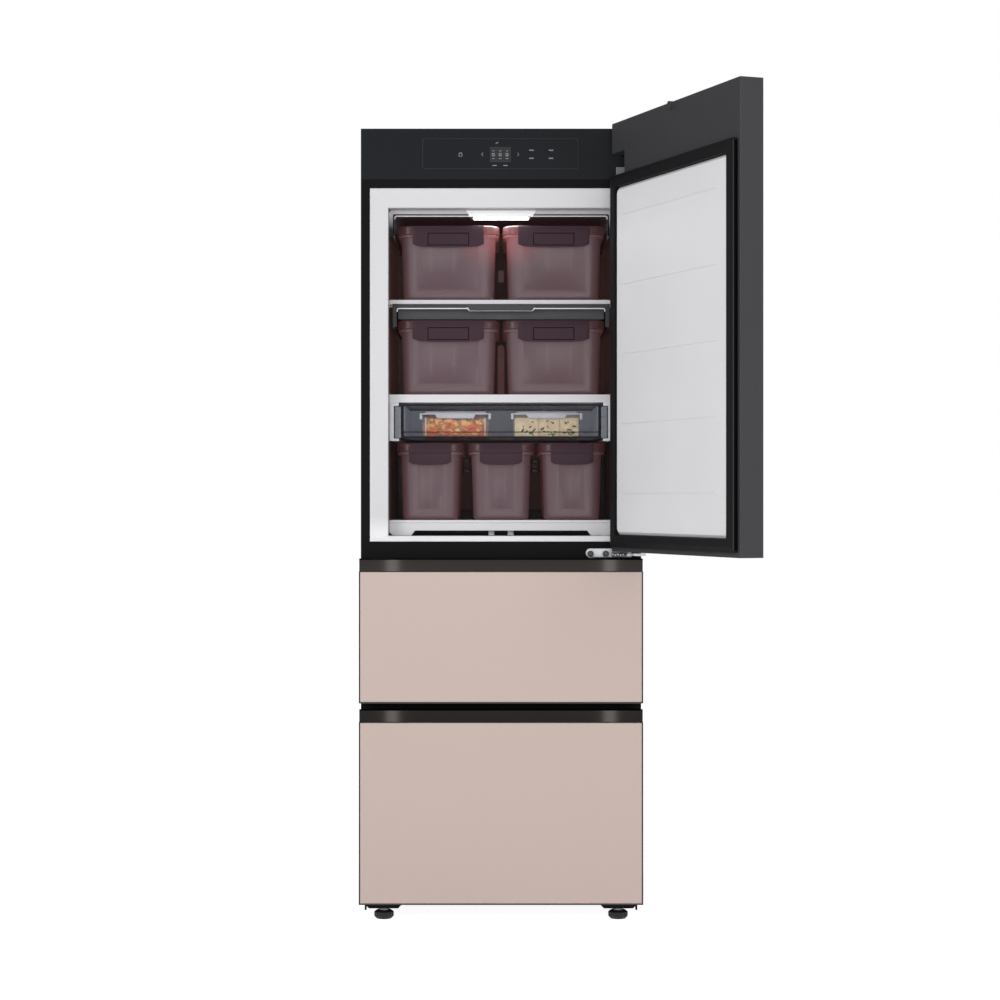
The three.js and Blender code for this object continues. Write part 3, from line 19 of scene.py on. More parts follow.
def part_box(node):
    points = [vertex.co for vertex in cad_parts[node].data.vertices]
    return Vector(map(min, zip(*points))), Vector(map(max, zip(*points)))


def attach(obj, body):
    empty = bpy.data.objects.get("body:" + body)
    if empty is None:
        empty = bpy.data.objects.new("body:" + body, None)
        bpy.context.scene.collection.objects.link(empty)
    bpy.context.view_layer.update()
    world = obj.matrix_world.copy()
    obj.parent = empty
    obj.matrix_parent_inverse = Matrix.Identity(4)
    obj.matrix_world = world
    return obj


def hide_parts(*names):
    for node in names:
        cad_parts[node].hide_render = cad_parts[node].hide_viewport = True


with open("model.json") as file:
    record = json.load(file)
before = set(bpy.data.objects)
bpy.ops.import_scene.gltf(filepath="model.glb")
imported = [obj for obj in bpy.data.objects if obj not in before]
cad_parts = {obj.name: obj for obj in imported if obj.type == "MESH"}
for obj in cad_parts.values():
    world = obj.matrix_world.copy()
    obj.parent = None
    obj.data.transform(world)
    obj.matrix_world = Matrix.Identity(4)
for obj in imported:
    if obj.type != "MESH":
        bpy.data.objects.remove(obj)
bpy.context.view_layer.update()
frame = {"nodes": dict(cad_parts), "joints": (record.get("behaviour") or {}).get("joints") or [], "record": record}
nodes = frame["nodes"]
SIDES = ((-1, "left"), (1, "right"))

# %% [markdown]
# The photograph was taken from straight in front with a long lens: the drawer fronts show no
# convergence, while the open door still shows its whole inner face. Fitting a level pinhole camera
# to the corners of the cabinet gave a distance of 5.4 m, a height of 0.99 m and a lens of 82 mm on
# a 36 mm sensor. The object sits a pixel right of the middle, so the lens is shifted by that much.

# %% Camera
CAMERA_DISTANCE = 5.384  # from the cabinet's front plane
CAMERA_HEIGHT = 0.9873
FOCAL_PIXELS = 2279.8
PICTURE_SIZE = 1000
MIDDLE_COLUMN = 501.0  # the pixel column of the cabinet's centre line
HORIZON_ROW = 498.0
SENSOR_WIDTH = 36.0
FAR_CLIP = 100

case_low, case_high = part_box("cabinet_case")
centre_x = (case_low.x + case_high.x) / 2
front_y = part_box("header_cover")[0].y

lens = bpy.data.cameras.new("studio_camera")
lens.sensor_fit = "HORIZONTAL"
lens.sensor_width = SENSOR_WIDTH
lens.lens = FOCAL_PIXELS * SENSOR_WIDTH / PICTURE_SIZE
lens.shift_x = (PICTURE_SIZE / 2 - MIDDLE_COLUMN) / PICTURE_SIZE
lens.shift_y = (HORIZON_ROW - PICTURE_SIZE / 2) / PICTURE_SIZE
lens.clip_end = FAR_CLIP
camera = bpy.data.objects.new("studio_camera", lens)
bpy.context.scene.collection.objects.link(camera)
camera.location = (centre_x, front_y - CAMERA_DISTANCE, CAMERA_HEIGHT)
camera.rotation_euler = (math.pi / 2, 0, 0)
bpy.context.scene.camera = camera
bpy.context.scene.view_settings.view_transform = "Standard"
print("lens", round(lens.lens, 2), "mm at", [round(v, 3) for v in camera.location])

# %% [markdown]
# The light is that of a plain studio. The world is white where the camera looks past the object
# and through clear plastic. As a light source it is dimmer, and in gloss it is dimmer still, as
# the dark half of the studio behind the camera would be: that keeps the black parts black. Three
# large soft lamps in front do the rest. Together they come to about one, so that a colour shows as
# it is written. They stand well away, so no edge is harsh. Two weak strip lamps stand nearer:
# their only work is to draw two narrow upright glints in the metal grip strips and on the tubs'
# corners.


# %% Node tools
WHITE = (1, 1, 1, 1)


def put(tree, socket, value):
    """Links a socket to an input, or gives the input a plain value."""
    if isinstance(value, bpy.types.NodeSocket):
        tree.links.new(value, socket)
    else:
        socket.default_value = value


def fill(tree, made, **inputs):
    """Fills a node's inputs; the spaces of a label are written as underscores."""
    for label, value in inputs.items():
        put(tree, made.inputs[label.replace("_", " ")], value)
    return made


def node(tree, kind, *values, **inputs):
    """A new shader node; its inputs are given in their order, or by label."""
    made = tree.nodes.new("ShaderNode" + kind)
    for socket, value in zip(made.inputs, values):
        put(tree, socket, value)
    return fill(tree, made, **inputs)


def step(tree, operation, first, second):
    """One step of arithmetic; each side is a socket or a number."""
    made = node(tree, "Math", first, second)
    made.operation = operation
    return made.outputs[0]


def spread(tree, value, low, high, start=0.0, end=1.0):
    """A value between a start and an end, spread between two others."""
    limits = {"From_Min": start, "From_Max": end, "To_Min": low, "To_Max": high}
    return node(tree, "MapRange", Value=value, **limits).outputs["Result"]


def place_of(tree):
    """The place on the object, in its own coordinates."""
    return node(tree, "TexCoord").outputs["Object"]


def noise(tree, vector, scale, detail=2.0):
    return node(tree, "TexNoise", Vector=vector, Scale=scale, Detail=detail).outputs["Fac"]


print("node tools ready")

# %% World
WORLD_LIGHT = 0.5
GLOSS_LIGHT = 0.2

world = bpy.data.worlds.new("white_studio")
bpy.context.scene.world = world
world.use_nodes = True
tree = world.node_tree
tree.nodes.clear()
ray = node(tree, "LightPath").outputs


def room(strength):
    """A plain white room of a brightness."""
    return node(tree, "Background", Color=WHITE, Strength=strength).outputs[0]


around = node(tree, "MixShader", ray["Is Glossy Ray"], room(WORLD_LIGHT), room(GLOSS_LIGHT))
for kind in ("Is Transmission Ray", "Is Camera Ray"):
    around = node(tree, "MixShader", ray[kind], around.outputs[0], room(1.0))
node(tree, "OutputWorld", Surface=around.outputs[0])
print("world light", WORLD_LIGHT, "in gloss", GLOSS_LIGHT)


# %% Lamps
LAMPS = (  # name, place, width, watts
    ("lamp_left", (-3.4, -5.2, 2.6), 2.4, 102),
    ("lamp_right", (3.0, -5.6, 2.2), 2.4, 75),
    ("lamp_low", (0.2, -6.2, 0.7), 2.6, 44),
)
LAMP_AIM = 0.95  # the height that the lamps are aimed at
STRIP_OUT = 0.394  # from the centre line to a strip
STRIP_AHEAD = 3.0  # in front of the cabinet
STRIP_SIZE = (0.042, 1.9)
STRIP_WATTS = 2.2


def soft_lamp(name, place, target, size, watts):
    """A square soft lamp, aimed at a point."""
    lamp = bpy.data.lights.new(name, "AREA")
    lamp.shape = "SQUARE"
    lamp.size = size
    lamp.energy = watts
    holder = bpy.data.objects.new(name, lamp)
    bpy.context.scene.collection.objects.link(holder)
    holder.location = place
    holder.rotation_euler = (Vector(target) - Vector(place)).to_track_quat("-Z", "Y").to_euler()
    holder.visible_camera = False
    return lamp


for name, place, size, watts in LAMPS:
    soft_lamp(name, place, (centre_x, 0, LAMP_AIM), size, watts)
for side, _ in SIDES:
    place = Vector((centre_x + side * STRIP_OUT, front_y - STRIP_AHEAD, 1.0))
    strip = soft_lamp("lamp_strip", place, place + Vector((0, 1, 0)), STRIP_SIZE[0], STRIP_WATTS)
    strip.shape = "RECTANGLE"
    strip.size_y = STRIP_SIZE[1]

# %% [markdown]
# The floor is a wide sheet of white paper. To the camera it glows a little, so that it joins the
# white room without a line, and what is left of its shading is the soft shadow under the cabinet.

# %% Floor
FLOOR_SIZE = 60
FLOOR_GLOW = 0.93
PAPER_TONE = (0.62, 0.68)
FIBRE_SCALE = 6

bpy.ops.object.select_all(action="DESELECT")
bpy.ops.mesh.primitive_plane_add(size=FLOOR_SIZE, location=(0, 0, 0))
floor = bpy.context.active_object
floor.name = floor.data.name = "paper_floor"
paper = bpy.data.materials.new("floor_paper")
paper.use_nodes = True
tree = paper.node_tree
tree.nodes.clear()
ray = node(tree, "LightPath").outputs
seen = step(tree, "MAXIMUM", ray["Is Camera Ray"], ray["Is Glossy Ray"])
seen = step(tree, "MAXIMUM", seen, ray["Is Transmission Ray"])
tone = spread(tree, noise(tree, place_of(tree), FIBRE_SCALE), *PAPER_TONE)
sheet = node(tree, "BsdfDiffuse", Color=tone)
glow = node(tree, "Emission", Color=WHITE, Strength=step(tree, "MULTIPLY", seen, FLOOR_GLOW))
both = node(tree, "AddShader", sheet.outputs[0], glow.outputs[0])
node(tree, "OutputMaterial", Surface=both.outputs[0])
floor.data.materials.append(paper)
print("floor", FLOOR_SIZE, "m across")

# %% [markdown]
# Every finish is procedural and is mixed from four small effects: a soft drift of tone, the fine
# grain of a moulded surface, a mask of rubbed edges, and the fine lines of brushed metal. Each is
# a node group of its own, so one change reaches every surface. They read the object's own
# coordinates, so the patterns keep their true size.

# %% Shared effects
NUMBER, COLOUR, VECTOR = "NodeSocketFloat", "NodeSocketColor", "NodeSocketVector"
FINE_DRIFT = 37.0  # how much finer the second drift of tone is
DRIFT_SWING = 4.0
PATCH_SCALE = 60.0  # of the patches that a worn edge is rubbed in
RUB_STRENGTH = 2.6
LINE_STRETCH = (0.02, 1.0, 1.0)


def new_group(name, entries, results):
    """An empty node group with its sockets; returns it with the sockets of its two ends."""
    group = bpy.data.node_groups.new(name, "ShaderNodeTree")
    for label, kind, value in entries:
        socket = group.interface.new_socket(label, in_out="INPUT", socket_type=kind)
        socket.default_value = value
    for label, kind in results:
        group.interface.new_socket(label, in_out="OUTPUT", socket_type=kind)
    start, end = group.nodes.new("NodeGroupInput"), group.nodes.new("NodeGroupOutput")
    return group, start.outputs, end


def shares(tree, first, share, second):
    """Two values added in shares that make up one."""
    rest = step(tree, "MULTIPLY", second, 1 - share)
    return step(tree, "ADD", step(tree, "MULTIPLY", first, share), rest)


soft_tone, start, end = new_group(
    "soft_tone",
    [("Color", COLOUR, (0.5, 0.5, 0.5, 1)), ("Amount", NUMBER, 0.06), ("Scale", NUMBER, 3.0)],
    [("Color", COLOUR), ("Drift", NUMBER)],
)
tree = soft_tone
place = place_of(tree)
fine = noise(tree, place, step(tree, "MULTIPLY", start["Scale"], FINE_DRIFT))
drift = shares(tree, noise(tree, place, start["Scale"], 3.0), 0.75, fine)
swing = step(tree, "MULTIPLY", step(tree, "SUBTRACT", drift, 0.5), start["Amount"])
brightness = step(tree, "ADD", step(tree, "MULTIPLY", swing, DRIFT_SWING), 1.0)
tinted = node(tree, "HueSaturation", Color=start["Color"], Value=brightness)
fill(tree, end, Color=tinted.outputs["Color"], Drift=drift)

moulded_grain, start, end = new_group(
    "moulded_grain", [("Scale", NUMBER, 900.0)], [("Height", NUMBER)]
)
tree = moulded_grain
place = place_of(tree)
cells = node(tree, "TexVoronoi", Vector=place, Scale=start["Scale"]).outputs["Distance"]
fill(tree, end, Height=shares(tree, cells, 0.6, noise(tree, place, start["Scale"])))

rubbed_edge, start, end = new_group(
    "rubbed_edge", [("Radius", NUMBER, 0.002)], [("Mask", NUMBER), ("Normal", VECTOR)]
)
tree = rubbed_edge
rounded = node(tree, "Bevel", Radius=start["Radius"])
rounded.samples = 4
rounded = rounded.outputs["Normal"]
apart = node(tree, "VectorMath", rounded, node(tree, "NewGeometry").outputs["Normal"])
apart.operation = "DISTANCE"
patches = noise(tree, place_of(tree), PATCH_SCALE, 3.0)
rubbed = step(tree, "MULTIPLY", apart.outputs["Value"], patches)
mask = node(tree, "Clamp", Value=step(tree, "MULTIPLY", rubbed, RUB_STRENGTH))
fill(tree, end, Mask=mask.outputs["Result"], Normal=rounded)

brushed_lines, start, end = new_group(
    "brushed_lines", [("Scale", NUMBER, 700.0)], [("Height", NUMBER)]
)
tree = brushed_lines
stretch = node(tree, "VectorMath", place_of(tree), LINE_STRETCH)
stretch.operation = "MULTIPLY"
fill(tree, end, Height=noise(tree, stretch.outputs["Vector"], start["Scale"], 4.0))
print("shared effects:", [g.name for g in bpy.data.node_groups])

# %% [markdown]
# A finish is one Principled surface. Plastics and paints share one recipe, metals another, and the
# clear plastics a third. A colour is written as the screen shows it, 0 to 255.


# %% Recipes for finishes
def shade(colour):
    """A colour as the screen shows it, turned into the renderer's linear values."""
    straight = [c / 255 for c in colour]
    return [c / 12.92 if c <= 0.04045 else ((c + 0.055) / 1.055) ** 2.4 for c in straight] + [1.0]


def surface(name):
    """An empty material: itself, its node tree and its Principled node."""
    made = bpy.data.materials.new(name)
    made.use_nodes = True
    tree = made.node_tree
    tree.nodes.clear()
    coat = node(tree, "BsdfPrincipled")
    node(tree, "OutputMaterial", Surface=coat.outputs[0])
    return made, tree, coat


def effect(tree, group, **values):
    """A shared effect placed in a material; returns its results."""
    made = tree.nodes.new("ShaderNodeGroup")
    made.node_tree = group
    return fill(tree, made, **values).outputs


def drifting(tree, colour, amount, scale):
    return effect(tree, soft_tone, Color=shade(colour), Amount=amount, Scale=scale)


def mixed(tree, fac, first, second):
    """A mix of two colours; each is a socket or a colour."""
    mix = tree.nodes.new("ShaderNodeMix")
    mix.data_type = "RGBA"
    put(tree, mix.inputs["Factor"], fac)
    put(tree, mix.inputs[6], first)
    put(tree, mix.inputs[7], second)
    return mix.outputs[2]


def dulled(tree, value, roughness, less, more):
    """A roughness that varies round a middle one, with a value."""
    return spread(tree, value, roughness * less, roughness * more)


def bumped(tree, height, strength, depth, normal=None):
    """The relief of a height; it may start from another normal."""
    relief = node(tree, "Bump", Strength=strength, Distance=depth, Height=height)
    if normal is not None:
        put(tree, relief.inputs["Normal"], normal)
    return relief.outputs["Normal"]


def grained(tree, scale, strength, depth, normal=None):
    """The relief of a moulded grain."""
    height = effect(tree, moulded_grain, Scale=scale)["Height"]
    return bumped(tree, height, strength, depth, normal)


def plastic(
    name, colour, roughness, worn, edge=0.0015, drift=0.05, grain=900.0, depth=0.00006,
    gloss=0.0, shine=0.5,
):
    """Moulded plastic or paint: a drifting tone, a fine grain, edges rubbed to a second colour; some also get a
    painted glow.
    """
    made, tree, coat = surface(name)
    tone = drifting(tree, colour, drift, 3.5)
    wear = effect(tree, rubbed_edge, Radius=edge)
    fill(
        tree, coat, Base_Color=mixed(tree, wear["Mask"], tone["Color"], shade(worn)),
        Roughness=dulled(tree, tone["Drift"], roughness, 0.75, 1.25),
        Normal=grained(tree, grain, 0.5, depth, wear["Normal"]),
        Coat_Weight=gloss, Coat_Roughness=0.08, Specular_IOR_Level=shine,
    )
    # A painted glow: emission that stands in for light passing into the plastic or falling on it.
    if name in PAINTED_GLOWS:
        inner, glow = PAINTED_GLOWS[name]
        painted_glow_tone = drifting(tree, inner, 0.12, 9.0)["Color"]
        fill(tree, coat, Emission_Color=painted_glow_tone, Emission_Strength=glow)
    return made


def metal(name, colour, roughness, worn, edge=0.001, lines=700.0, depth=0.00005):
    """Metal with fine lines along the length, a little cleaner where it is rubbed."""
    made, tree, coat = surface(name)
    wear = effect(tree, rubbed_edge, Radius=edge)
    brush = effect(tree, brushed_lines, Scale=lines)["Height"]
    tone = drifting(tree, colour, 0.05, 5.0)["Color"]
    fill(
        tree, coat, Base_Color=mixed(tree, wear["Mask"], tone, shade(worn)), Metallic=1.0,
        Roughness=dulled(tree, brush, roughness, 0.7, 1.3),
        Normal=bumped(tree, brush, 0.4, depth, wear["Normal"]),
    )
    return made


def clear_plastic(name, colour, roughness, thin, thick):
    """Thin clear plastic: faint seen face on, and denser seen along its edge."""
    made, tree, coat = surface(name)
    tone = drifting(tree, colour, 0.04, 6.0)
    wear = effect(tree, rubbed_edge, Radius=0.0006)
    slant = node(tree, "LayerWeight", Blend=0.4).outputs["Facing"]
    edge = step(tree, "MULTIPLY", wear["Mask"], 0.3)
    fill(
        tree, coat, Base_Color=tone["Color"],
        Alpha=step(tree, "ADD", spread(tree, slant, thin, thick), edge),
        Roughness=dulled(tree, tone["Drift"], roughness, 0.7, 1.3),
        Normal=grained(tree, 45.0, 0.15, 0.0001),
    )
    return made


def tone_by_height(name, high_colour, low_colour, high_z, low_z):
    """Matt plastic whose tone falls from one colour at a height to another lower down: a short fall makes a
    two-tone line, a long one painted shade.
    """
    made, tree, coat = surface(name)
    bright = drifting(tree, high_colour, 0.02, 4.0)
    dim = drifting(tree, low_colour, 0.1, 7.0)["Color"]
    height = node(tree, "SeparateXYZ", place_of(tree)).outputs["Z"]
    skin = mixed(tree, spread(tree, height, 0, 1, low_z, high_z), dim, bright["Color"])
    wear = effect(tree, rubbed_edge, Radius=0.0008)
    rub = step(tree, "MULTIPLY", wear["Mask"], 0.3)
    fill(
        tree, coat, Base_Color=mixed(tree, rub, skin, shade(high_colour)),
        Roughness=dulled(tree, bright["Drift"], 0.45, 0.75, 1.2),
        Normal=grained(tree, 800.0, 0.4, 0.00005, wear["Normal"]), Specular_IOR_Level=0.2,
    )
    return made


def glowing(name, strength):
    """Frosted white plastic that is lit from behind."""
    made, tree, coat = surface(name)
    frost = drifting(tree, (246, 246, 246), 0.02, 20.0)
    fill(
        tree, coat, Base_Color=frost["Color"], Emission_Color=frost["Color"],
        Emission_Strength=strength, Roughness=spread(tree, frost["Drift"], 0.3, 0.5),
        Normal=grained(tree, 500.0, 0.2, 0.0001),
    )
    return made


def food(name, colour, second, roughness, mottle):
    """Moist food: two colours mottled together, uneven, with a wet coat and a faint painted glow."""
    made, tree, coat = surface(name)
    tone = drifting(tree, colour, 0.1, 70.0)
    patches = noise(tree, place_of(tree), mottle, 4.0)
    patchy = spread(tree, patches, 0, 1, 0.42, 0.6)
    skin = mixed(tree, patchy, tone["Color"], shade(second))
    # The emission is a painted glow, so the food shows bright behind the clear walls.
    fill(
        tree, coat, Base_Color=skin, Emission_Color=skin, Emission_Strength=0.14,
        Roughness=dulled(tree, tone["Drift"], roughness, 0.7, 1.4), Coat_Weight=0.3,
        Normal=bumped(tree, patches, 0.6, 0.0006),
    )
    return made


print("recipes ready")

# %% Finishes
look = {}
PLASTICS = (  # name, colour, roughness, colour of a rubbed edge, what differs from the recipe
    ("dark_case", (20, 20, 21), 0.55, (32, 33, 35), dict(shine=0.06)),
    ("header_glass", (31, 34, 37), 0.4, (44, 47, 50), dict(depth=2e-5, shine=0.08)),
    ("grey_plastic", (150, 151, 154), 0.5, (190, 190, 192), {}),
    ("cheek_grey", (126, 130, 138), 0.4, (168, 171, 177), dict(edge=0.0005, shine=0.3)),
    # the rear duct is grey; its warm tint and its glow are painted light from the red tubs
    ("duct_grey", (112, 92, 92), 0.5, (150, 132, 132), dict(shine=0.2)),
    ("white_plastic", (224, 224, 227), 0.42, (238, 238, 240), dict(drift=0.02, shine=0.25)),
    ("door_white", (236, 236, 239), 0.42, (244, 244, 246), dict(drift=0.015, shine=0.35)),
    ("door_side", (63, 63, 66), 0.5, (96, 96, 99), dict(shine=0.22)),
    ("seal_rubber", (24, 24, 26), 0.6, (50, 50, 53), dict(drift=0.08, shine=0.12)),
    ("machine_paint", (24, 24, 26), 0.45, (70, 70, 72), dict(gloss=0.2)),
    (
        "front_panel", (204, 185, 177), 0.42, (222, 208, 202),
        dict(edge=0.002, drift=0.012, grain=1400.0, depth=2e-5, shine=0.3),
    ),
    (
        "tub_plastic", (80, 68, 76), 0.36, (128, 104, 110),
        dict(edge=0.003, depth=1e-5, gloss=0.1, shine=0.3),
    ),
    (
        "lid_plastic", (60, 42, 46), 0.34, (118, 86, 92),
        dict(edge=0.002, depth=1e-5, gloss=0.08, shine=0.25),
    ),
    ("latch_plastic", (58, 42, 50), 0.4, (74, 56, 64), dict(edge=0.001, shine=0.1)),
    # painted shade for the groove round a latch's sunk field
    ("latch_groove_shade", (30, 20, 25), 0.5, (44, 32, 38), dict(edge=0.0003, shine=0.05)),
    ("tray_edge", (22, 24, 28), 0.35, (40, 43, 48), dict(edge=0.0003, shine=0.08)),
    # painted light: the glowing sheets inside the clear tray
    ("tray_back_glow", (158, 161, 172), 0.5, (170, 172, 180), dict(edge=0.0004, shine=0.2)),
    ("hinge_shade", (132, 134, 138), 0.4, (168, 170, 174), dict(shine=0.3)),
    ("printed_line", (54, 58, 61), 0.5, (64, 68, 72), dict(drift=0.03, shine=0.2)),
    ("printed_sign", (128, 134, 138), 0.5, (140, 146, 150), dict(drift=0.03, shine=0.2)),
    ("printed_pad", (37, 40, 43), 0.4, (50, 54, 57), dict(drift=0.03, shine=0.3)),
    ("screw_black", (34, 34, 37), 0.35, (96, 96, 99), dict(edge=0.0006, gloss=0.2)),
    # painted highlight for the steel stems of the feet
    ("stem_painted_glint", (196, 198, 202), 0.3, (214, 216, 220), dict(edge=0.0005)),
    ("foot_black", (24, 24, 26), 0.4, (70, 70, 73), dict(edge=0.0008, shine=0.3)),
    # painted shadow for the groove under the ceiling band
    ("groove_painted_shadow", (10, 9, 10), 0.6, (20, 19, 20), dict(edge=0.0003, shine=0.02)),
    ("under_grey", (66, 66, 70), 0.45, (90, 90, 93), dict(edge=0.0004, shine=0.15)),
    ("hanger_grey", (72, 70, 73), 0.45, (110, 110, 113), dict(edge=0.0006, shine=0.15)),
    ("face_grey", (78, 78, 82), 0.45, (100, 100, 104), dict(edge=0.0006, shine=0.2)),
    # the air columns and sensor covers are grey; their warm tint and glow are painted light from the red tubs
    ("column_tone", (140, 114, 114), 0.45, (160, 136, 136), dict(shine=0.2)),
    ("sensor_grey", (150, 124, 124), 0.45, (170, 146, 146), dict(shine=0.2)),
    # painted shadow for the channel along the door's seal
    ("channel_painted_shadow", (8, 8, 9), 0.6, (20, 20, 21), dict(edge=0.0003, shine=0.02)),
    ("lip_grey", (52, 52, 54), 0.5, (70, 70, 72), dict(edge=0.0003, shine=0.2)),
)
PAINTED_GLOWS = {  # plastics with a painted glow, emission that stands in for light passing into them or reaching them: the colour of the glow, and how much it glows
    "duct_grey": ((40, 33, 33), 0.4), "door_white": ((120, 120, 124), 0.3),
    "tub_plastic": ((84, 50, 46), 0.4), "lid_plastic": ((86, 48, 48), 0.25),
    "latch_plastic": ((60, 38, 46), 0.15), "tray_back_glow": ((84, 86, 94), 0.6),
    "face_grey": ((22, 22, 24), 0.5), "column_tone": ((84, 58, 58), 0.6),
    "sensor_grey": ((78, 62, 64), 0.6),
}
METALS = (  # name, colour, roughness, colour of a rubbed edge, what differs from the recipe
    ("grip_metal", (31, 29, 28), 0.05, (60, 57, 55), dict(depth=4e-6)),
    ("zinc_metal", (176, 178, 181), 0.4, (206, 207, 209), dict(lines=1500.0)),
    ("coil_metal", (104, 100, 102), 0.4, (150, 150, 152), {}),
)
for recipe, table in ((plastic, PLASTICS), (metal, METALS)):
    for *row, differing in table:
        look[row[0]] = recipe(*row, **differing)
CLEARS = (  # name, colour, roughness, density face on and along an edge
    ("clear_tray", (112, 120, 134), 0.1, 0.06, 0.5),
    ("clear_box", (226, 230, 234), 0.08, 0.03, 0.5),
    ("dish_lid", (226, 228, 236), 0.3, 0.78, 0.95),
)
FOODS = (  # name, colour, second colour, roughness, how fine it is mottled
    ("pepper_cabbage", (206, 88, 8), (224, 126, 20), 0.3, 90.0),
    ("pale_cabbage", (248, 194, 124), (236, 152, 64), 0.3, 120.0),
    ("olive_cabbage", (150, 112, 18), (176, 128, 34), 0.3, 120.0),
    ("pepper_sauce", (184, 74, 4), (204, 100, 12), 0.25, 140.0),
    ("bean_cake", (232, 212, 176), (218, 192, 148), 0.5, 60.0),
    ("green_herb", (92, 108, 34), (66, 82, 24), 0.4, 200.0),
    ("red_herb", (122, 50, 24), (84, 34, 16), 0.4, 200.0),
)
LAMPLIT = (("lamp_glow", 22.0), ("lamp_window", 0.12))
for recipe, table in ((clear_plastic, CLEARS), (food, FOODS), (glowing, LAMPLIT)):
    for row in table:
        look[row[0]] = recipe(*row)
print("materials:", len(bpy.data.materials))

# %% Painted lamplight in the plastics
PAINTED_GLOW_REACH = 0.135  # how far the painted glow round the lamp reaches in the plastic
PAINTED_GLOW_FULL = 0.03  # and how far it is at its full strength

# Tubs and lids near the lamp get a painted warm glow: their emission turns salmon near a point under the lamp, in
# their own coordinates, so it moves with them.
lens_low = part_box("lamp_lens")[0]
painted_glow_centre = (centre_x, lens_low.y + 0.02, lens_low.z - 0.012)
for name, colour in (("tub_plastic", (196, 104, 98)), ("lid_plastic", (206, 112, 106))):
    tree = look[name].node_tree
    coat = next(n for n in tree.nodes if n.type == "BSDF_PRINCIPLED").inputs["Emission Color"]
    away = node(tree, "VectorMath", place_of(tree), painted_glow_centre)
    away.operation = "DISTANCE"
    # the strength of the painted glow at this place
    lit = spread(tree, away.outputs["Value"], 1.0, 0.0, PAINTED_GLOW_FULL, PAINTED_GLOW_REACH)
    lit.node.interpolation_type = "SMOOTHSTEP"
    put(tree, coat, mixed(tree, lit, coat.links[0].from_socket, shade(colour)))
print("lamplight reaches", PAINTED_GLOW_REACH, "m")

# %% [markdown]
# The liner is one moulding, but only its border is white: behind it comes a grey throat, and the
# walls further in carry the dark plates that cool the compartment. So the finish changes with the
# depth. The plates are tinted warm, and higher up the walls get a painted glow: both are painted
# light, from light that has passed through the tubs. The border's foot is painted brighter, a
# painted highlight on the sill.

# %% Liner finish
BORDER_DEPTH = 0.0105  # from the liner's front edge to the end of its sloping border
BORDER_BLUR = 0.001
THROAT_DEPTH = 0.048  # to the front of the air tunnel
THROAT_BLUR = 0.006
WARM_GLOW_FROM, WARM_GLOW_TO = 1.16, 1.30  # the walls' painted warm glow comes in between these heights
SILL_HIGHLIGHT_FROM, SILL_HIGHLIGHT_TO = 0.905, 0.945  # the border is painted brighter at its foot: a painted highlight on the sill

liner_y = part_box("upper_liner")[0].y
look["lined_wall"], tree, coat = surface("lined_wall")
parts = node(tree, "SeparateXYZ", place_of(tree)).outputs
border_y, throat_y = liner_y + BORDER_DEPTH, liner_y + THROAT_DEPTH
in_throat = spread(tree, parts["Y"], 0, 1, border_y - BORDER_BLUR, border_y + BORDER_BLUR)
inside = spread(tree, parts["Y"], 0, 1, throat_y - THROAT_BLUR, throat_y)
high_up = spread(tree, parts["Z"], 0, 1, WARM_GLOW_FROM, WARM_GLOW_TO)
sill_highlight = spread(tree, parts["Z"], 0, 1, SILL_HIGHLIGHT_TO, SILL_HIGHLIGHT_FROM)
white = drifting(tree, (218, 218, 221), 0.015, 3.0)
throat = drifting(tree, (206, 204, 208), 0.04, 4.0)["Color"]
# the dark plates: their own colour, tinted warm as painted light from the tubs
dark = drifting(tree, (86, 70, 70), 0.08, 4.0)["Color"]
warm = drifting(tree, (42, 29, 27), 0.2, 5.0)["Color"]
black = drifting(tree, (16, 16, 17), 0.2, 5.0)["Color"]
# a painted highlight: the border brighter towards the sill
skin = mixed(tree, sill_highlight, white["Color"], shade((246, 246, 248)))
skin = mixed(tree, in_throat, skin, throat)
skin = mixed(tree, inside, skin, dark)
wear = effect(tree, rubbed_edge, Radius=0.003)
# the emission is a painted glow: near black low down, warm higher up, none on the border and throat
lit = mixed(tree, high_up, black, warm)
fill(
    tree, coat, Base_Color=mixed(tree, wear["Mask"], skin, shade((232, 232, 234))),
    Emission_Color=mixed(tree, inside, shade((0, 0, 0)), lit), Emission_Strength=0.6,
    Roughness=spread(tree, white["Drift"], 0.3, 0.45),
    Normal=grained(tree, 700.0, 0.4, 0.00005, wear["Normal"]),
)
print("border ends at y", round(border_y, 4))

# %% Shelf and tunnel finishes
SHELF_PLATE = 0.0096  # thickness of the upper shelf's white plate
BAND_SHADE_DROPS = (0.010, 0.046)  # the painted shade on the ceiling band falls off between these drops

plate_low, plate_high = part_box("upper_shelf")
plate_foot = plate_high.z - SHELF_PLATE
tunnel_low, tunnel_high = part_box("ceiling_tunnel")
look["shelf_tone"] = tone_by_height(
    "shelf_tone", (214, 213, 217), (112, 112, 116), plate_foot - 0.0002, plate_foot - 0.0006
)
# The ceiling band is pale at its top and near black lower down: painted shade under the ceiling.
look["band_painted_shade"] = tone_by_height(
    "band_painted_shade", (204, 202, 206), (30, 27, 28), *[tunnel_high.z - drop for drop in BAND_SHADE_DROPS]
)
print("shelf plate above z", round(plate_foot, 4))

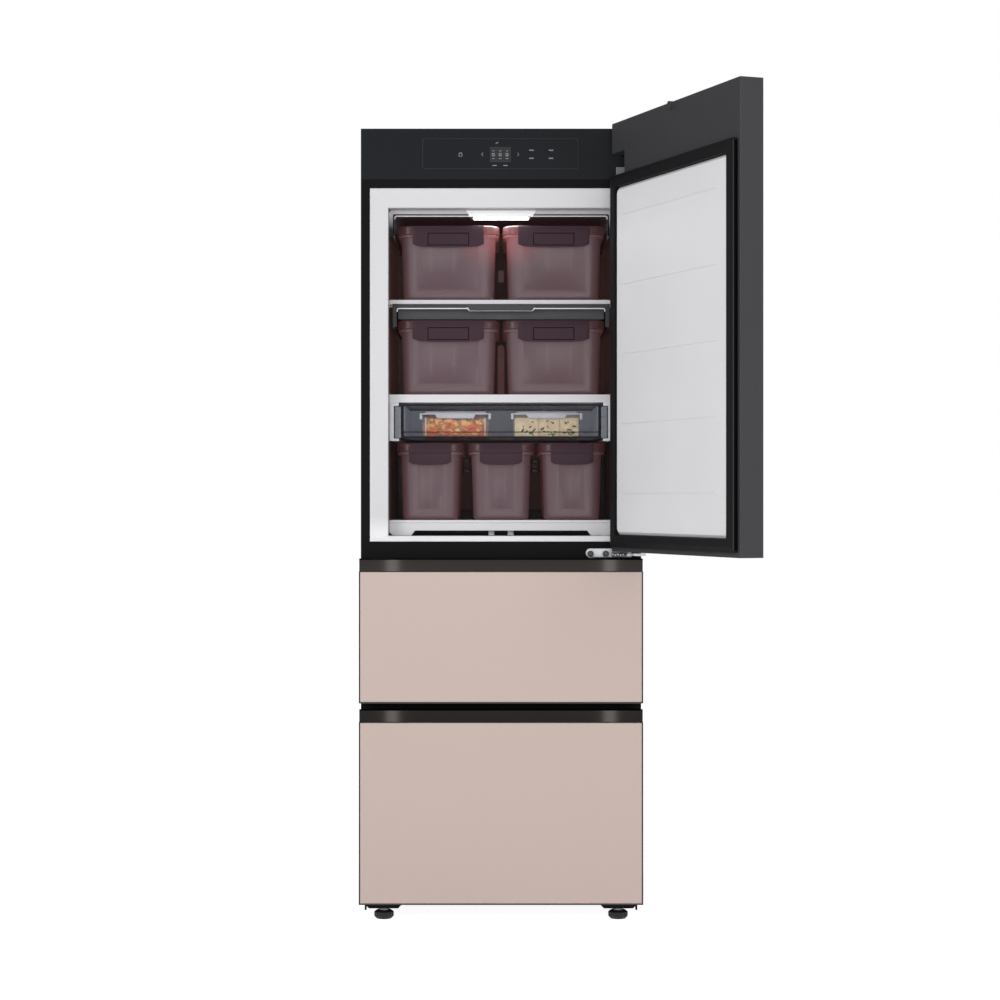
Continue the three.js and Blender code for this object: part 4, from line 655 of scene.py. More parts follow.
# %% Finishes on the solids
SLOT_LOOKS = {
    "case": "dark_case", "fascia": "header_glass", "liner": "white_plastic", "grey": "grey_plastic",
    "lamp": "lamp_glow", "coil": "coil_metal", "zinc": "zinc_metal", "machine": "machine_paint",
    "rubber": "seal_rubber", "trim": "door_side", "panel": "front_panel", "grip": "grip_metal",
    "clear": "clear_tray", "tub": "tub_plastic", "lid": "lid_plastic",
}
OWN_LOOKS = {
    "upper_liner": "lined_wall", "door_liner": "door_white", "rear_duct": "duct_grey",
    "upper_shelf": "shelf_tone", "upper_hinge": "hinge_shade",
}
for part in frame["record"]["subparts"]:
    materials = nodes[part["node"]].data.materials
    materials.clear()
    materials.append(look[OWN_LOOKS.get(part["node"], SLOT_LOOKS[part["material_slot"]])])

# %% [markdown]
# The rounded pieces are made the way their moulds are: a block of the outer size, its upright
# edges rounded, its foot drawn in for draft, and its hollow sunk from the top. A few small tools
# keep that short: one adds a block between two corners, one opens it for editing, one picks faces
# or edges by where they are. A finished piece rides on its body and stands in for the solid that
# it replaces.


# %% Tools
def select_only(*pieces):
    """Selects some pieces and nothing else; the first is the active one."""
    bpy.ops.object.select_all(action="DESELECT")
    for piece in pieces:
        piece.select_set(True)
    bpy.context.view_layer.objects.active = pieces[0]


def named(piece, name):
    piece.name = piece.data.name = name
    return piece


def added(name, operator, **how):
    """A new mesh from an operator, its place put into its points: its origin is the frame's."""
    bpy.ops.object.select_all(action="DESELECT")
    operator(**how)
    bpy.ops.object.transform_apply(location=True, rotation=True, scale=True)
    return named(bpy.context.active_object, name)


def add_block(name, low, high):
    """A block between two corners."""
    low, high = Vector(low), Vector(high)
    how = {"size": 1, "location": (low + high) / 2, "scale": high - low}
    return added(name, bpy.ops.mesh.primitive_cube_add, **how)


def add_span(name, x, y, z):
    """A block from its low and high x, low and high y, low and high z."""
    return add_block(name, *zip(x, y, z))


def add_rod(name, foot, top, radius, sides, turn=(0, 0, 0)):
    """A round rod between two points; it stands upright unless it is turned."""
    foot, top = Vector(foot), Vector(top)
    how = {"vertices": sides, "radius": radius, "depth": (top - foot).length, "rotation": turn}
    return added(name, bpy.ops.mesh.primitive_cylinder_add, location=(foot + top) / 2, **how)


def add_ball(name, subdivisions):
    """A ball with a radius of one."""
    how = {"subdivisions": subdivisions, "radius": 1.0, "location": (0, 0, 0)}
    return added(name, bpy.ops.mesh.primitive_ico_sphere_add, **how)


@contextmanager
def editing(piece):
    """Opens a piece's mesh for editing, with nothing picked."""
    select_only(piece)
    bpy.ops.object.mode_set(mode="EDIT")
    bpy.ops.mesh.select_all(action="DESELECT")
    yield
    bpy.ops.object.mode_set(mode="OBJECT")


def pick(kind, test):
    """Picks the faces, edges or points of the open mesh that pass a test."""
    bpy.ops.mesh.select_mode(type=kind)
    bpy.ops.mesh.select_all(action="DESELECT")
    mesh = bmesh.from_edit_mesh(bpy.context.active_object.data)
    mesh.normal_update()
    for item in {"FACE": mesh.faces, "EDGE": mesh.edges, "VERT": mesh.verts}[kind]:
        if test(item):
            item.select_set(True)
    mesh.select_flush_mode()
    bmesh.update_edit_mesh(bpy.context.active_object.data)


def near(a, b, within=1e-5):
    return abs(a - b) < within


def anything(item):
    return True


def along(axis):
    """A test for edges that run along an axis."""
    across = ["XYZ".index(a) for a in "XYZ" if a != axis]
    return lambda e: all(near(e.verts[0].co[i], e.verts[1].co[i]) for i in across)


def longer(length):
    """A test for edges over a length."""
    return lambda e: e.calc_length() > length


def sharp(edge):
    """Whether an edge turns by much more than a rounding's steps."""
    return edge.calc_face_angle(0) > 0.9


def level(*heights):
    """A test for edges that lie at one of some heights."""
    return lambda e: any(all(near(v.co.z, z) for v in e.verts) for z in heights)


def at_height(z):
    """A test for points at a height."""
    return lambda v: near(v.co.z, z)


def facing(face, axis, sign=1):
    """Whether a face looks along an axis."""
    return face.normal["XYZ".index(axis)] * sign > 0.9


def top_at(z):
    """A test for faces that look up at a height."""
    return lambda f: facing(f, "Z") and near(middle_of(f).z, z)


def middle_of(face):
    return face.calc_center_median()


def outward(face, centre):
    """Whether a face looks away from a point."""
    return face.normal.dot(middle_of(face) - centre) > 0


def round_off(test, width, steps):
    """Rounds the edges of the open mesh that pass a test."""
    pick("EDGE", test)
    bpy.ops.mesh.bevel(offset=width, segments=steps, affect="EDGES", clamp_overlap=False)


def inset(thickness, depth=0.0):
    bpy.ops.mesh.inset(thickness=thickness, depth=depth)


def move(x=0.0, y=0.0, z=0.0):
    bpy.ops.transform.translate(value=(x, y, z))


def pull(x=0.0, y=0.0, z=0.0):
    """Extrudes what is picked, and moves it."""
    bpy.ops.mesh.extrude_region_move(TRANSFORM_OT_translate={"value": (x, y, z)})


def thicken(by, even):
    """Extrudes what is picked outwards along its normals."""
    bpy.ops.mesh.extrude_region_shrink_fatten(
        TRANSFORM_OT_shrink_fatten={"value": by, "use_even_offset": even}
    )


def resize(x, y, z, centre):
    bpy.ops.transform.resize(value=(x, y, z), center_override=centre)


def cut_at(axis, *places):
    """Cuts the whole open mesh across an axis, so that it has edges at each place."""
    for place in places:
        bpy.ops.mesh.select_mode(type="FACE")
        bpy.ops.mesh.select_all(action="SELECT")
        normal = Vector([a == axis for a in "XYZ"])
        bpy.ops.mesh.bisect(plane_co=normal * place, plane_no=normal)


def smooth(piece, degrees=35):
    select_only(piece)
    bpy.ops.object.shade_smooth_by_angle(angle=math.radians(degrees))
    return piece


def soften(piece, width, steps=2, test=anything, degrees=35):
    """Rounds a piece's edges, or those that pass a test, and shades it smooth."""
    with editing(piece):
        round_off(test, width, steps)
    return smooth(piece, degrees)


def mould(low, high, corner, corner_steps, draft, foot, foot_steps, wall, base):
    """Makes the open block a box: corners and foot rounded, sides drawn in, a hollow sunk in it."""
    size = high - low
    narrower = (1 - 2 * draft / size.x, 1 - 2 * draft / size.y, 1)
    centre = ((low.x + high.x) / 2, (low.y + high.y) / 2, low.z)
    round_off(along("Z"), corner, corner_steps)
    pick("VERT", at_height(low.z))
    resize(*narrower, centre)
    round_off(level(low.z), foot, foot_steps)
    pick("FACE", top_at(high.z))
    inset(wall)
    pull(z=base - size.z)
    resize(*narrower, centre)


def dress(piece, finish, body, slot_name=None, *solids):
    """Gives a piece its finish, the body it rides on, and the solids that it stands in for."""
    if len(piece.data.materials) < 2:
        piece.data.materials.clear()
        piece.data.materials.append(look[finish])
    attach(piece, body)
    if solids:
        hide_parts(*solids)
    return piece


def copy_of(piece, name, shift=(0, 0, 0)):
    """A copy with a mesh of its own, moved."""
    twin = piece.copy()
    twin.data = piece.data.copy()
    named(twin, name)
    twin.parent = None
    twin.data.transform(Matrix.Translation(shift))
    bpy.context.scene.collection.objects.link(twin)
    return twin


def joined(*pieces):
    """Joins pieces into the first."""
    select_only(*pieces)
    bpy.ops.object.join()
    return pieces[0]


def beside(low, high, side, start, end):
    """The low and high x of a band that starts and ends some way in from one side of a box."""
    x = (low if side < 0 else high).x
    return sorted((x - side * start, x - side * end))


print("tools ready")

# %% [markdown]
# Seven kimchi containers fill the compartment: two wide ones on each shelf, three narrow ones on
# the deck. Each is a deep tub with draft and well rounded corners, a raised ridge round it under
# the lid, and a faint frosted field framed on its front. The lid is a cap with a sunk top. In
# front, a latch as deep as two fingers hangs from the lid's edge and hooks in under the ridge; its
# face is bowed. One wide and one narrow container are modelled, each where the upper left or lower
# left one stands, and copied to their neighbours.

# %% Sizes of the containers
CORNER = 0.030  # plan radius of a tub's corners
CORNER_STEPS = 7
WALL = 0.0025
DRAFT = 0.0055  # how much narrower each side is at the foot
FOOT_ROUND = 0.010
HOLLOW_ROUND = 0.009
SKIRT_GAP = 0.002  # from the ridge up to the lid
RIM_STEP = 0.007  # from the ridge in to the wall
RIDGE = 0.005
RIDGE_ROUND = 0.0009
FIELD_INSET = 0.016  # from a tub's flat front in to its frosted field
FIELD_LINE = 0.0012  # the width of the field's slanting border
FIELD_SUNK = 0.0006
LID_WALL = 0.0045
LID_PLATE = 0.004
LID_ROUND = 0.0048
LID_SIDE = 0.012  # an edge of a lid's top nearer to a side than this is an outer one
DISH_INSET = 0.024
DISH_DEPTH = 0.0018
LATCH_THICK = 0.005
LATCH_BOW = 0.0022  # how far the middle of a latch stands out
LATCH_SAG = 0.0025  # how far the middle of its foot hangs below the ends
LATCH_TURN_UP = 0.0055  # how far the ends of its foot turn up
LATCH_COLUMNS = 16
LATCH_EDGE = 0.0006
GROOVE_WIDTH = 0.0019  # of the groove round a wide latch's sunk field
GROOVE_DEPTH = 0.0016


def make_tub(node_name, name):
    """A tub with draft, rounded foot, ridge and hollow, in the place of its solid."""
    low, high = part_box(node_name)
    ridge_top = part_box(node_name.replace("tub", "lid"))[0].z - SKIRT_GAP
    step_in = Vector((RIM_STEP, RIM_STEP, 0))
    inner_low, inner_high = low + step_in, high - step_in
    centre = (low + high) / 2
    piece = add_block(name, inner_low, inner_high)

    def in_ridge(f):
        return ridge_top - RIDGE < middle_of(f).z < ridge_top and outward(f, centre)

    def on_front(f):
        middle = middle_of(f)
        in_front = facing(f, "Y", -1) and middle.y < inner_low.y + 0.006
        return in_front and middle.z < ridge_top - 2 * RIDGE and f.calc_area() > 0.002

    with editing(piece):
        corner = (CORNER - RIM_STEP, CORNER_STEPS)
        mould(inner_low, inner_high, *corner, DRAFT, FOOT_ROUND, 5, WALL, 2 * WALL)
        round_off(level(low.z + 2 * WALL), HOLLOW_ROUND, 3)
        cut_at("Z", ridge_top - RIDGE, ridge_top)
        pick("FACE", in_ridge)
        thicken(RIM_STEP, True)
        round_off(level(ridge_top, ridge_top - RIDGE), RIDGE_ROUND, 2)
        pick("FACE", on_front)
        inset(FIELD_INSET)
        inset(FIELD_LINE, -FIELD_SUNK)
    return smooth(piece)


def make_lid(node_name, name):
    """A cap over the tub's rim, with rounded edges and a sunk top."""
    low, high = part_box(node_name)
    piece = add_block(name, low, high)

    def by_a_side(v):
        return min(*(v.co - low).xy, *(high - v.co).xy) < LID_SIDE

    with editing(piece):
        round_off(along("Z"), CORNER + 0.002, CORNER_STEPS)
        pick("FACE", lambda f: facing(f, "Z", -1))
        inset(LID_WALL)
        pull(z=high.z - low.z - LID_PLATE)
        pick("FACE", top_at(high.z))
        inset(DISH_INSET)
        inset(DISH_DEPTH, -DISH_DEPTH)
        round_off(lambda e: level(high.z)(e) and all(by_a_side(v) for v in e.verts), LID_ROUND, 5)
    return smooth(piece)


print("sizes of tubs, lids and latches set, corners", CORNER)

# %% Containers
WIDE_FIELD = 0.099  # width of the sunk field on a wide latch; a narrow latch has only a line
FIELD_TOPS = (0.0165, 0.0225)  # below the top of a wide and of a narrow latch
FIELD_FOOT = 0.0045
LINE_HEIGHT = 0.0014


def make_latch(node_name, name, sunk):
    """A latch plate, bowed from side to side, with its hook under the ridge."""
    low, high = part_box(node_name)
    mid_x, half = (low.x + high.x) / 2, (high.x - low.x) / 2
    back, front, foot = low.y + LATCH_THICK, low.y + LATCH_BOW, low.z + LATCH_SAG
    piece = add_block(name, (low.x, front, foot), (high.x, back, high.z))
    piece.data.materials.append(look["latch_plastic"])
    piece.data.materials.append(look["latch_groove_shade"])
    columns = [low.x + (high.x - low.x) * i / LATCH_COLUMNS for i in range(LATCH_COLUMNS + 1)]
    field_top = high.z - FIELD_TOPS[0 if sunk else 1]
    field_foot = low.z + FIELD_FOOT if sunk else field_top - LINE_HEIGHT
    field_half = sunk / 2 if sunk else half

    def in_field(f, by=0.0):
        middle = middle_of(f)
        across = abs(middle.x - mid_x) < field_half - by
        return across and field_foot + by < middle.z < field_top - by

    def in_groove(f):
        in_front = middle_of(f).y < back - 0.002
        return in_front and in_field(f) and not in_field(f, GROOVE_WIDTH)

    def on_rim(v):
        across = low.x + 0.002 < v.co.x < high.x - 0.002
        return not (across and foot + 0.003 < v.co.z < high.z - 0.001)

    with editing(piece):
        cut_at("X", *columns[1:-1])
        for x in columns:
            out = abs((x - mid_x) / half)
            bow = 1 - out**2
            pick("VERT", lambda v: near(v.co.x, x) and near(v.co.y, front))
            move(y=-LATCH_BOW * bow)
            pick("VERT", lambda v: near(v.co.x, x) and near(v.co.z, foot))
            move(z=LATCH_TURN_UP * out**10 - LATCH_SAG * bow)
        cut_at("Z", field_top, field_foot)
        if sunk:
            cut_at("X", mid_x - field_half, mid_x + field_half)
        pick("FACE", lambda f: facing(f, "Y", -1) and in_field(f))
        inset(GROOVE_WIDTH if sunk else 0.0002, -GROOVE_DEPTH)
        if sunk:
            inset(0.0003, 0.0015)
            # The groove takes a darker finish: painted shade in the recess.
            pick("FACE", in_groove)
            bpy.context.object.active_material_index = 1
            bpy.ops.object.material_slot_assign()
        round_off(lambda e: sharp(e) and all(on_rim(v) for v in e.verts), LATCH_EDGE, 2)
    return smooth(piece, 30)


FOLLOWERS = {
    "upper_left": ("upper_right", "middle_left", "middle_right"),
    "lower_left": ("lower_centre", "lower_right"),
}
KINDS = (("tub", "tub_plastic"), ("lid", "lid_plastic"), ("latch", "latch_plastic"))
for master, sunk in (("upper_left", WIDE_FIELD), ("lower_left", 0.0)):
    made = {
        "tub": make_tub("tub_" + master, "tub_" + master + "_form"),
        "lid": make_lid("lid_" + master, "lid_" + master + "_form"),
        "latch": make_latch("latch_" + master, "latch_" + master + "_form", sunk),
    }
    for place in (master, *FOLLOWERS[master]):
        for kind, finish in KINDS:
            name = kind + "_" + place
            piece = made[kind]
            if place != master:
                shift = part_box(name)[0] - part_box(kind + "_" + master)[0]
                piece = copy_of(piece, name + "_form", shift)
            body = name if kind == "latch" else "container_" + place
            dress(piece, finish, body, "tub" if kind == "tub" else "lid", name)
    print(master, {kind: len(piece.data.polygons) for kind, piece in made.items()}, "faces")

# %% [markdown]
# Between the second shelf and the narrow containers hangs a clear tray with two lidded dish boxes.
# The tray is a shallow box with a rib across its front, and runs on two ledges. Its walls are
# thin, so the edges draw its outline darker than its faces. The dish boxes are clear too, with
# whitish snap lids.

# %% Tray
TRAY_WALL = 0.0025
TRAY_RUNNER = 0.013  # how far a runner stands out from the tray
TRAY_CORNER = 0.009
TRAY_DRAFT = 0.003
RIB_RISE = 0.014
RIB_HEIGHT = 0.003
RIB_PROUD = 0.0013
RUNNER_SUNK = 0.003  # how far a runner reaches into the tray's side
RUNNER_HEIGHT = 0.010
OUTLINE_BAND = 0.0036  # the thick edge that shows round a clear wall
OUTLINE_CORNER = 0.010
SIDE_SHEET = (0.0062, 0.0074)  # where a side sheet lies, inward of the tray's side
BACK_SHEET = (0.0018, 0.0006)  # where the back sheet lies, ahead of the tray's back wall
SHEET_INSET = 0.006
SHEET_FRONT = 0.008  # from the tray's front back to the side sheets
SHEET_DROP = 0.003  # from the tray's rim down to its sheets
BACK_SHEET_BASE = 0.004
FOOT_CORNER = 0.003  # rounds the foot of the tray and of the dish boxes
RUNNER_ENDS = (0.014, 0.012)  # from the tray's front and back in to a runner's ends
OUTLINE_LOW = (0.0008, -0.0012, 0.0012)  # from the low corner of the tray's front
OUTLINE_HIGH = (-0.001, 0.0004, -0.001)  # and from its high corner
RIB_LINE_INSET = 0.004
RIB_LINE_HALF = 0.0006  # half of its thickness
RIB_LINE_HEIGHT = 0.0022


def ring(name, low, high, corner, band, foot=None):
    """A flat frame seen from the front, its corners rounded; for an arch, its foot is cut off."""
    piece = add_block(name, low, high)
    with editing(piece):
        round_off(along("Y"), corner, 6)
        pick("FACE", lambda f: abs(f.normal.y) > 0.9)
        inset(band)
        bpy.ops.mesh.bridge_edge_loops()
        if foot is not None:
            bpy.ops.mesh.select_all(action="SELECT")
            bpy.ops.mesh.bisect(
                plane_co=(0, 0, foot), plane_no=(0, 0, 1), clear_inner=True, use_fill=True
            )
    return smooth(piece, 30)


def on_tray(piece, finish, *solids):
    """Dresses a piece that rides with the tray."""
    dress(piece, finish, "snack_tray", "clear", *solids)


tray_low, tray_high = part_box("snack_tray")
body_low = tray_low + Vector((TRAY_RUNNER, RIB_PROUD, 0))
body_high = tray_high - Vector((TRAY_RUNNER, 0, 0))
rib_foot, rib_top = tray_low.z + RIB_RISE, tray_low.z + RIB_RISE + RIB_HEIGHT
sheet_top = tray_high.z - SHEET_DROP
tray = add_block("snack_tray_form", body_low, body_high)


def in_rib(f):
    middle = middle_of(f)
    return facing(f, "Y", -1) and rib_foot < middle.z < rib_top and middle.y < body_low.y + 0.002


with editing(tray):
    mould(body_low, body_high, TRAY_CORNER, 5, TRAY_DRAFT, FOOT_CORNER, 3, TRAY_WALL, TRAY_WALL)
    cut_at("Z", rib_foot, rib_top)
    pick("FACE", in_rib)
    pull(y=-RIB_PROUD)
runners = []
for side, _ in SIDES:
    x = beside(tray_low, tray_high, side, 0, TRAY_RUNNER + RUNNER_SUNK)
    y = tray_low.y + RUNNER_ENDS[0], tray_high.y - RUNNER_ENDS[1]
    runner = add_span("tray_runner", x, y, (tray_low.z, tray_low.z + RUNNER_HEIGHT))
    with editing(runner):
        round_off(longer(0.2), 0.001, 2)
    runners.append(runner)
on_tray(smooth(joined(tray, *runners)), "clear_tray", "snack_tray")

outline_low = Vector([v + out for v, out in zip(body_low, OUTLINE_LOW)])
front_high = body_high.x, body_low.y, body_high.z
outline_high = Vector([v + out for v, out in zip(front_high, OUTLINE_HIGH)])
to_back = tray_high.y - body_low.y - TRAY_WALL
for name, back in (("tray_outline", 0), ("tray_outline_back", to_back)):
    shift = Vector((0, back, 0))
    outline = ring(name, outline_low + shift, outline_high + shift, OUTLINE_CORNER, OUTLINE_BAND)
    on_tray(outline, "tray_edge")
# Pale sheets with a painted glow stand just inside the tray's back and sides: painted light for the blue-grey look
# through the clear tray.
sheet_y = [tray_high.y - TRAY_WALL - ahead for ahead in BACK_SHEET]
sheet_x = body_low.x + SHEET_INSET, body_high.x - SHEET_INSET
sheet = add_span("tray_back_sheet", sheet_x, sheet_y, (tray_low.z + BACK_SHEET_BASE, sheet_top))
on_tray(soften(sheet, 0.006, 4, along("Y")), "tray_back_glow")
for side, name in SIDES:
    x = beside(body_low, body_high, side, *SIDE_SHEET)
    y = body_low.y + SHEET_FRONT, body_high.y - SHEET_INSET
    sheet = add_span("tray_side_sheet_" + name, x, y, (tray_low.z + SHEET_INSET, sheet_top))
    on_tray(soften(sheet, 0.0004, 2, longer(0.1)), "tray_back_glow")
x = body_low.x + RIB_LINE_INSET, body_high.x - RIB_LINE_INSET
y = tray_low.y - RIB_LINE_HALF, tray_low.y + RIB_LINE_HALF
line = add_span("tray_rib_line", x, y, (rib_foot, rib_foot + RIB_LINE_HEIGHT))
on_tray(soften(line, 0.0003, 2, longer(0.1)), "tray_edge")
print("tray:", len(tray.data.polygons), "faces")

# %% Tray guides
GUIDE_TOP = 0.019  # below the top of the shelf
GUIDE_SPINE = 0.0105
GUIDE_REACH = 0.0225
GUIDE_ARM = 0.0085
GUIDE_FOOT_ARM = 0.00595
GUIDE_THICK = 0.002
CHEEK_GAP = 0.0016
CHEEK_SPAN = (-0.0005, -0.0145)  # where a cheek lies, outward of the tray's side
CHEEK_FACES = (0.0016, 0.0006)  # in front of the tray's face and behind it
CHEEK_STEPS = ((0.3, 0.36), (0.64, 0.7))  # two grooves across a cheek, as shares of its height

shelf_low, shelf_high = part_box("middle_shelf")
top = shelf_high.z - GUIDE_TOP
arm_foot, arm_top = top - GUIDE_ARM, shelf_low.z + GUIDE_FOOT_ARM
cheek_foot, cheek_top = arm_top + CHEEK_GAP, arm_foot - CHEEK_GAP
step_edges = [
    [cheek_foot + (cheek_top - cheek_foot) * share for share in pair] for pair in CHEEK_STEPS
]


def on_guide_front(e):
    a, b = e.verts
    return near(a.co.y, b.co.y) and a.co.y < shelf_low.y - 0.001 and sharp(e)


def in_step(f):
    return facing(f, "Y", -1) and any(low < middle_of(f).z < high for low, high in step_edges)


for side, name in SIDES:
    x = beside(shelf_low, shelf_high, side, 0, GUIDE_SPINE)
    y = shelf_low.y - GUIDE_THICK, shelf_low.y - 0.0002
    guide = add_span("tray_guide_" + name, x, y, (shelf_low.z, top))
    with editing(guide):
        cut_at("Z", arm_top, arm_foot)
        pick("FACE", lambda f: facing(f, "X", -side) and not arm_top < middle_of(f).z < arm_foot)
        pull(x=-side * (GUIDE_REACH - GUIDE_SPINE))
    dress(soften(guide, 0.0006, 2, on_guide_front, 30), "white_plastic", "cabinet", "liner")
    x = beside(body_low, body_high, side, *CHEEK_SPAN)
    y = tray_low.y - CHEEK_FACES[0], tray_low.y + CHEEK_FACES[1]
    cheek = add_span("tray_cheek_" + name, x, y, (cheek_foot, cheek_top))
    with editing(cheek):
        round_off(along("Y"), 0.002, 3)
        cut_at("Z", *step_edges[0], *step_edges[1])
        pick("FACE", in_step)
        inset(0.0004, -0.0012)
    on_tray(smooth(cheek, 30), "cheek_grey")
print("guides and cheeks between z", round(shelf_low.z, 4), "and", round(top, 4))

# %% Dish boxes
BOX_CORNER = 0.015
BOX_WALL = 0.0018
BOX_DRAFT = 0.0022
BOX_INSET = 0.003  # from a solid's side in to the box's wall
BOX_RIM = (0.0025, 0.004)  # how far a box's rim stands out, and its height
LID_SHOULDER = 0.012  # from a lid's edge in to its raised middle
LID_RISE = 0.0038
LID_SKIRT = 0.004  # the lid's plate starts this much above its solid's foot
FLAP_WIDTH = 0.102  # the snap flap in the middle of the front
FLAP_DROP = 0.0052
FLAP_TAPER = 0.016
FLAP_HALF = 0.0012  # half of its thickness
WING_WIDTH = 0.0062  # the short tabs at both ends
WING_INSET = 0.0006
WING_THICK = 0.0022
WING_DROP = 0.0075
TAB_TOP = 0.0045  # below the top of the lid
TAB_ROUND = 0.0006

for _, side in SIDES:
    low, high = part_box("side_dish_box_" + side)
    lid_low, lid_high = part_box("side_dish_lid_" + side)
    rim = Vector((BOX_INSET, BOX_INSET, 0))
    centre = (low + high) / 2
    box = add_block("dish_box_" + side, low + rim, high - rim)

    def in_rim(f):
        at_top = middle_of(f).z > high.z - BOX_RIM[1] and abs(f.normal.z) < 0.5
        return at_top and outward(f, centre)

    with editing(box):
        mould(low + rim, high - rim, BOX_CORNER, 5, BOX_DRAFT, FOOT_CORNER, 3, BOX_WALL, BOX_WALL)
        cut_at("Z", high.z - BOX_RIM[1])
        pick("FACE", in_rim)
        thicken(BOX_RIM[0], False)
    on_tray(smooth(box), "clear_box", "side_dish_box_" + side)
    plate_top = lid_high.z - LID_SKIRT
    lid = add_block(
        "dish_lid_" + side, lid_low + Vector((0, 0, LID_SKIRT)), (lid_high.x, lid_high.y, plate_top)
    )
    with editing(lid):
        round_off(along("Z"), BOX_CORNER + 0.002, 5)
        pick("FACE", lambda f: facing(f, "Z"))
        inset(LID_SHOULDER)
        inset(0.002, LID_RISE)
        round_off(lambda e: level(plate_top)(e) and e.calc_face_angle(0) > 0.8, 0.001, 2)
    tab_top = lid_high.z - TAB_TOP
    middle = Vector(((lid_low.x + lid_high.x) / 2, lid_low.y, 0))
    flap = add_block(
        "dish_flap",
        middle + Vector((-FLAP_WIDTH / 2, -FLAP_HALF, lid_low.z - FLAP_DROP)),
        middle + Vector((FLAP_WIDTH / 2, FLAP_HALF, tab_top)),
    )
    with editing(flap):
        pick("VERT", lambda v: v.co.z < lid_low.z)
        resize(1 - FLAP_TAPER / FLAP_WIDTH, 1, 1, middle)
    tabs = [flap]
    for end, _ in SIDES:
        x = beside(lid_low, lid_high, end, WING_INSET, WING_INSET + WING_WIDTH)
        y = lid_low.y, lid_low.y + WING_THICK
        tabs.append(add_span("dish_wing", x, y, (lid_low.z - WING_DROP, tab_top)))
    for tab in tabs:
        with editing(tab):
            round_off(anything, TAB_ROUND, 2)
    on_tray(smooth(joined(lid, *tabs)), "dish_lid", "side_dish_lid_" + side)
print("dish boxes:", len(box.data.polygons), "faces each")

# %% [markdown]
# What the dish boxes hold is food that anyone might keep there: cut cabbage in red pepper on the
# left, pale bean cakes with chopped herbs on the right. The cabbage is one crumpled leaf, copied
# at many turns and sizes into the box; the cakes are blocks with soft edges, and each garnish is a
# thin sliver laid against their front.

# %% Cabbage
LEAF = 0.0085
LEAVES = 150
LEAF_FINISHES = {"red": "pepper_cabbage", "pale": "pale_cabbage", "olive": "olive_cabbage"}
LEAF_BASE = 0.009  # from the box's foot up to the lowest leaf
FRONT_GAP = 0.001  # from the box's front wall to the leaves that lie against it
CORNER_GLINT = 0.0062  # from the food's end in to the pale rib of a rounded corner
FOOD_INSET = 0.0078  # from the food's end in to the painted highlight on a rounded corner
FOOD_BASE = 0.0025
FOOD_TOP = 0.047  # from a box's foot up to the food
SAUCE_TOP = 0.036
SAUCE_BACK = 0.006  # the sauce starts behind the front leaves
HIGH_SHARES = (0.56, 0.78)  # pale leaves, then olive ones, near the top; the rest is red
LOW_SHARES = (0.16, 0.22)

dice = random.Random(7)


def food_space(side):
    """The corners of the space for food in a dish box, and the corners of the box."""
    low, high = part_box("side_dish_box_" + side)
    food_low = low + Vector((FOOD_INSET, FOOD_INSET, FOOD_BASE))
    return food_low, Vector((high.x - FOOD_INSET, high.y - FOOD_INSET, low.z + FOOD_TOP)), low, high


def pile_of(pieces, name, finish):
    """Joins small pieces of food into one that rides with the tray."""
    pile = named(joined(*pieces), name)
    dress(smooth(pile, 60), finish, "snack_tray")


food_low, food_high, low, high = food_space("left")
sauce = add_block(
    "pepper_sauce", food_low + Vector((0, SAUCE_BACK, 0)), (*food_high.xy, low.z + SAUCE_TOP)
)
dress(soften(sauce, 0.003, 3), "pepper_sauce", "snack_tray")

leaf = add_ball("cabbage_leaf", 3)
with editing(leaf):
    pick("VERT", anything)
    bpy.ops.transform.vertex_random(offset=0.12, uniform=0.2, normal=0.6, seed=3)
    bpy.ops.mesh.vertices_smooth(factor=0.5, repeat=3)
smooth(leaf, 60)
leaf_foot = low.z + LEAF_BASE
leaves = {"red": [], "pale": [], "olive": []}
for i in range(LEAVES):
    in_front = i % 5 < 4
    size = [LEAF * dice.uniform(*span) for span in ((0.8, 1.35), (0.35, 0.6), (0.5, 0.85))]
    reach = max(size)
    x = dice.uniform(food_low.x + size[0], food_high.x - size[0])
    y = food_low.y + size[1] + FRONT_GAP
    if not in_front:
        y = dice.uniform(food_low.y + reach, food_high.y - reach)
    rise = dice.random() ** 0.8 if in_front else 1.0
    z = leaf_foot + (food_high.z - size[2] - leaf_foot) * rise
    tilt = Matrix.Rotation(dice.uniform(-0.5, 0.5), 4, "Y")
    turn = tilt @ Matrix.Rotation(dice.uniform(-0.25, 0.25), 4, "Z")
    twin = copy_of(leaf, "cabbage_leaf_%d" % i)
    twin.data.transform(Matrix.Translation((x, y, z)) @ turn @ Matrix.Diagonal((*size, 1)))
    kind = dice.random()
    pale_share, olive_share = HIGH_SHARES if rise > 0.55 else LOW_SHARES
    leaves["pale" if kind < pale_share else "olive" if kind < olive_share else "red"].append(twin)
bpy.data.objects.remove(leaf)
for kind, pieces in leaves.items():
    print(kind, "leaves:", len(pieces))
    pile_of(pieces, "cabbage_" + kind, LEAF_FINISHES[kind])
# Two thin white strips at the left box's front corners are painted highlights: the glints in its rounded corners.
for end, _ in SIDES:
    x = (food_low if end < 0 else food_high).x - end * CORNER_GLINT
    x, y = (x - 0.0014, x + 0.0014), (low.y + 0.0016, low.y + 0.0029)
    line = add_span("dish_corner_glint", x, y, (low.z + 0.004, high.z - 0.003))
    on_tray(soften(line, 0.0005, 2, longer(0.02)), "white_plastic")

# %% Bean cakes
CAKE_EDGES = (0.0, 0.375, 0.7, 1.0)  # where the cakes part, as shares of the row
CAKE_GAP = 0.0006
SLIVERS = 12  # on each cake; the first ones are red
RED_SLIVERS = 5
SLIVER_THICK = 0.0006
SLIVER_INSET = 0.008

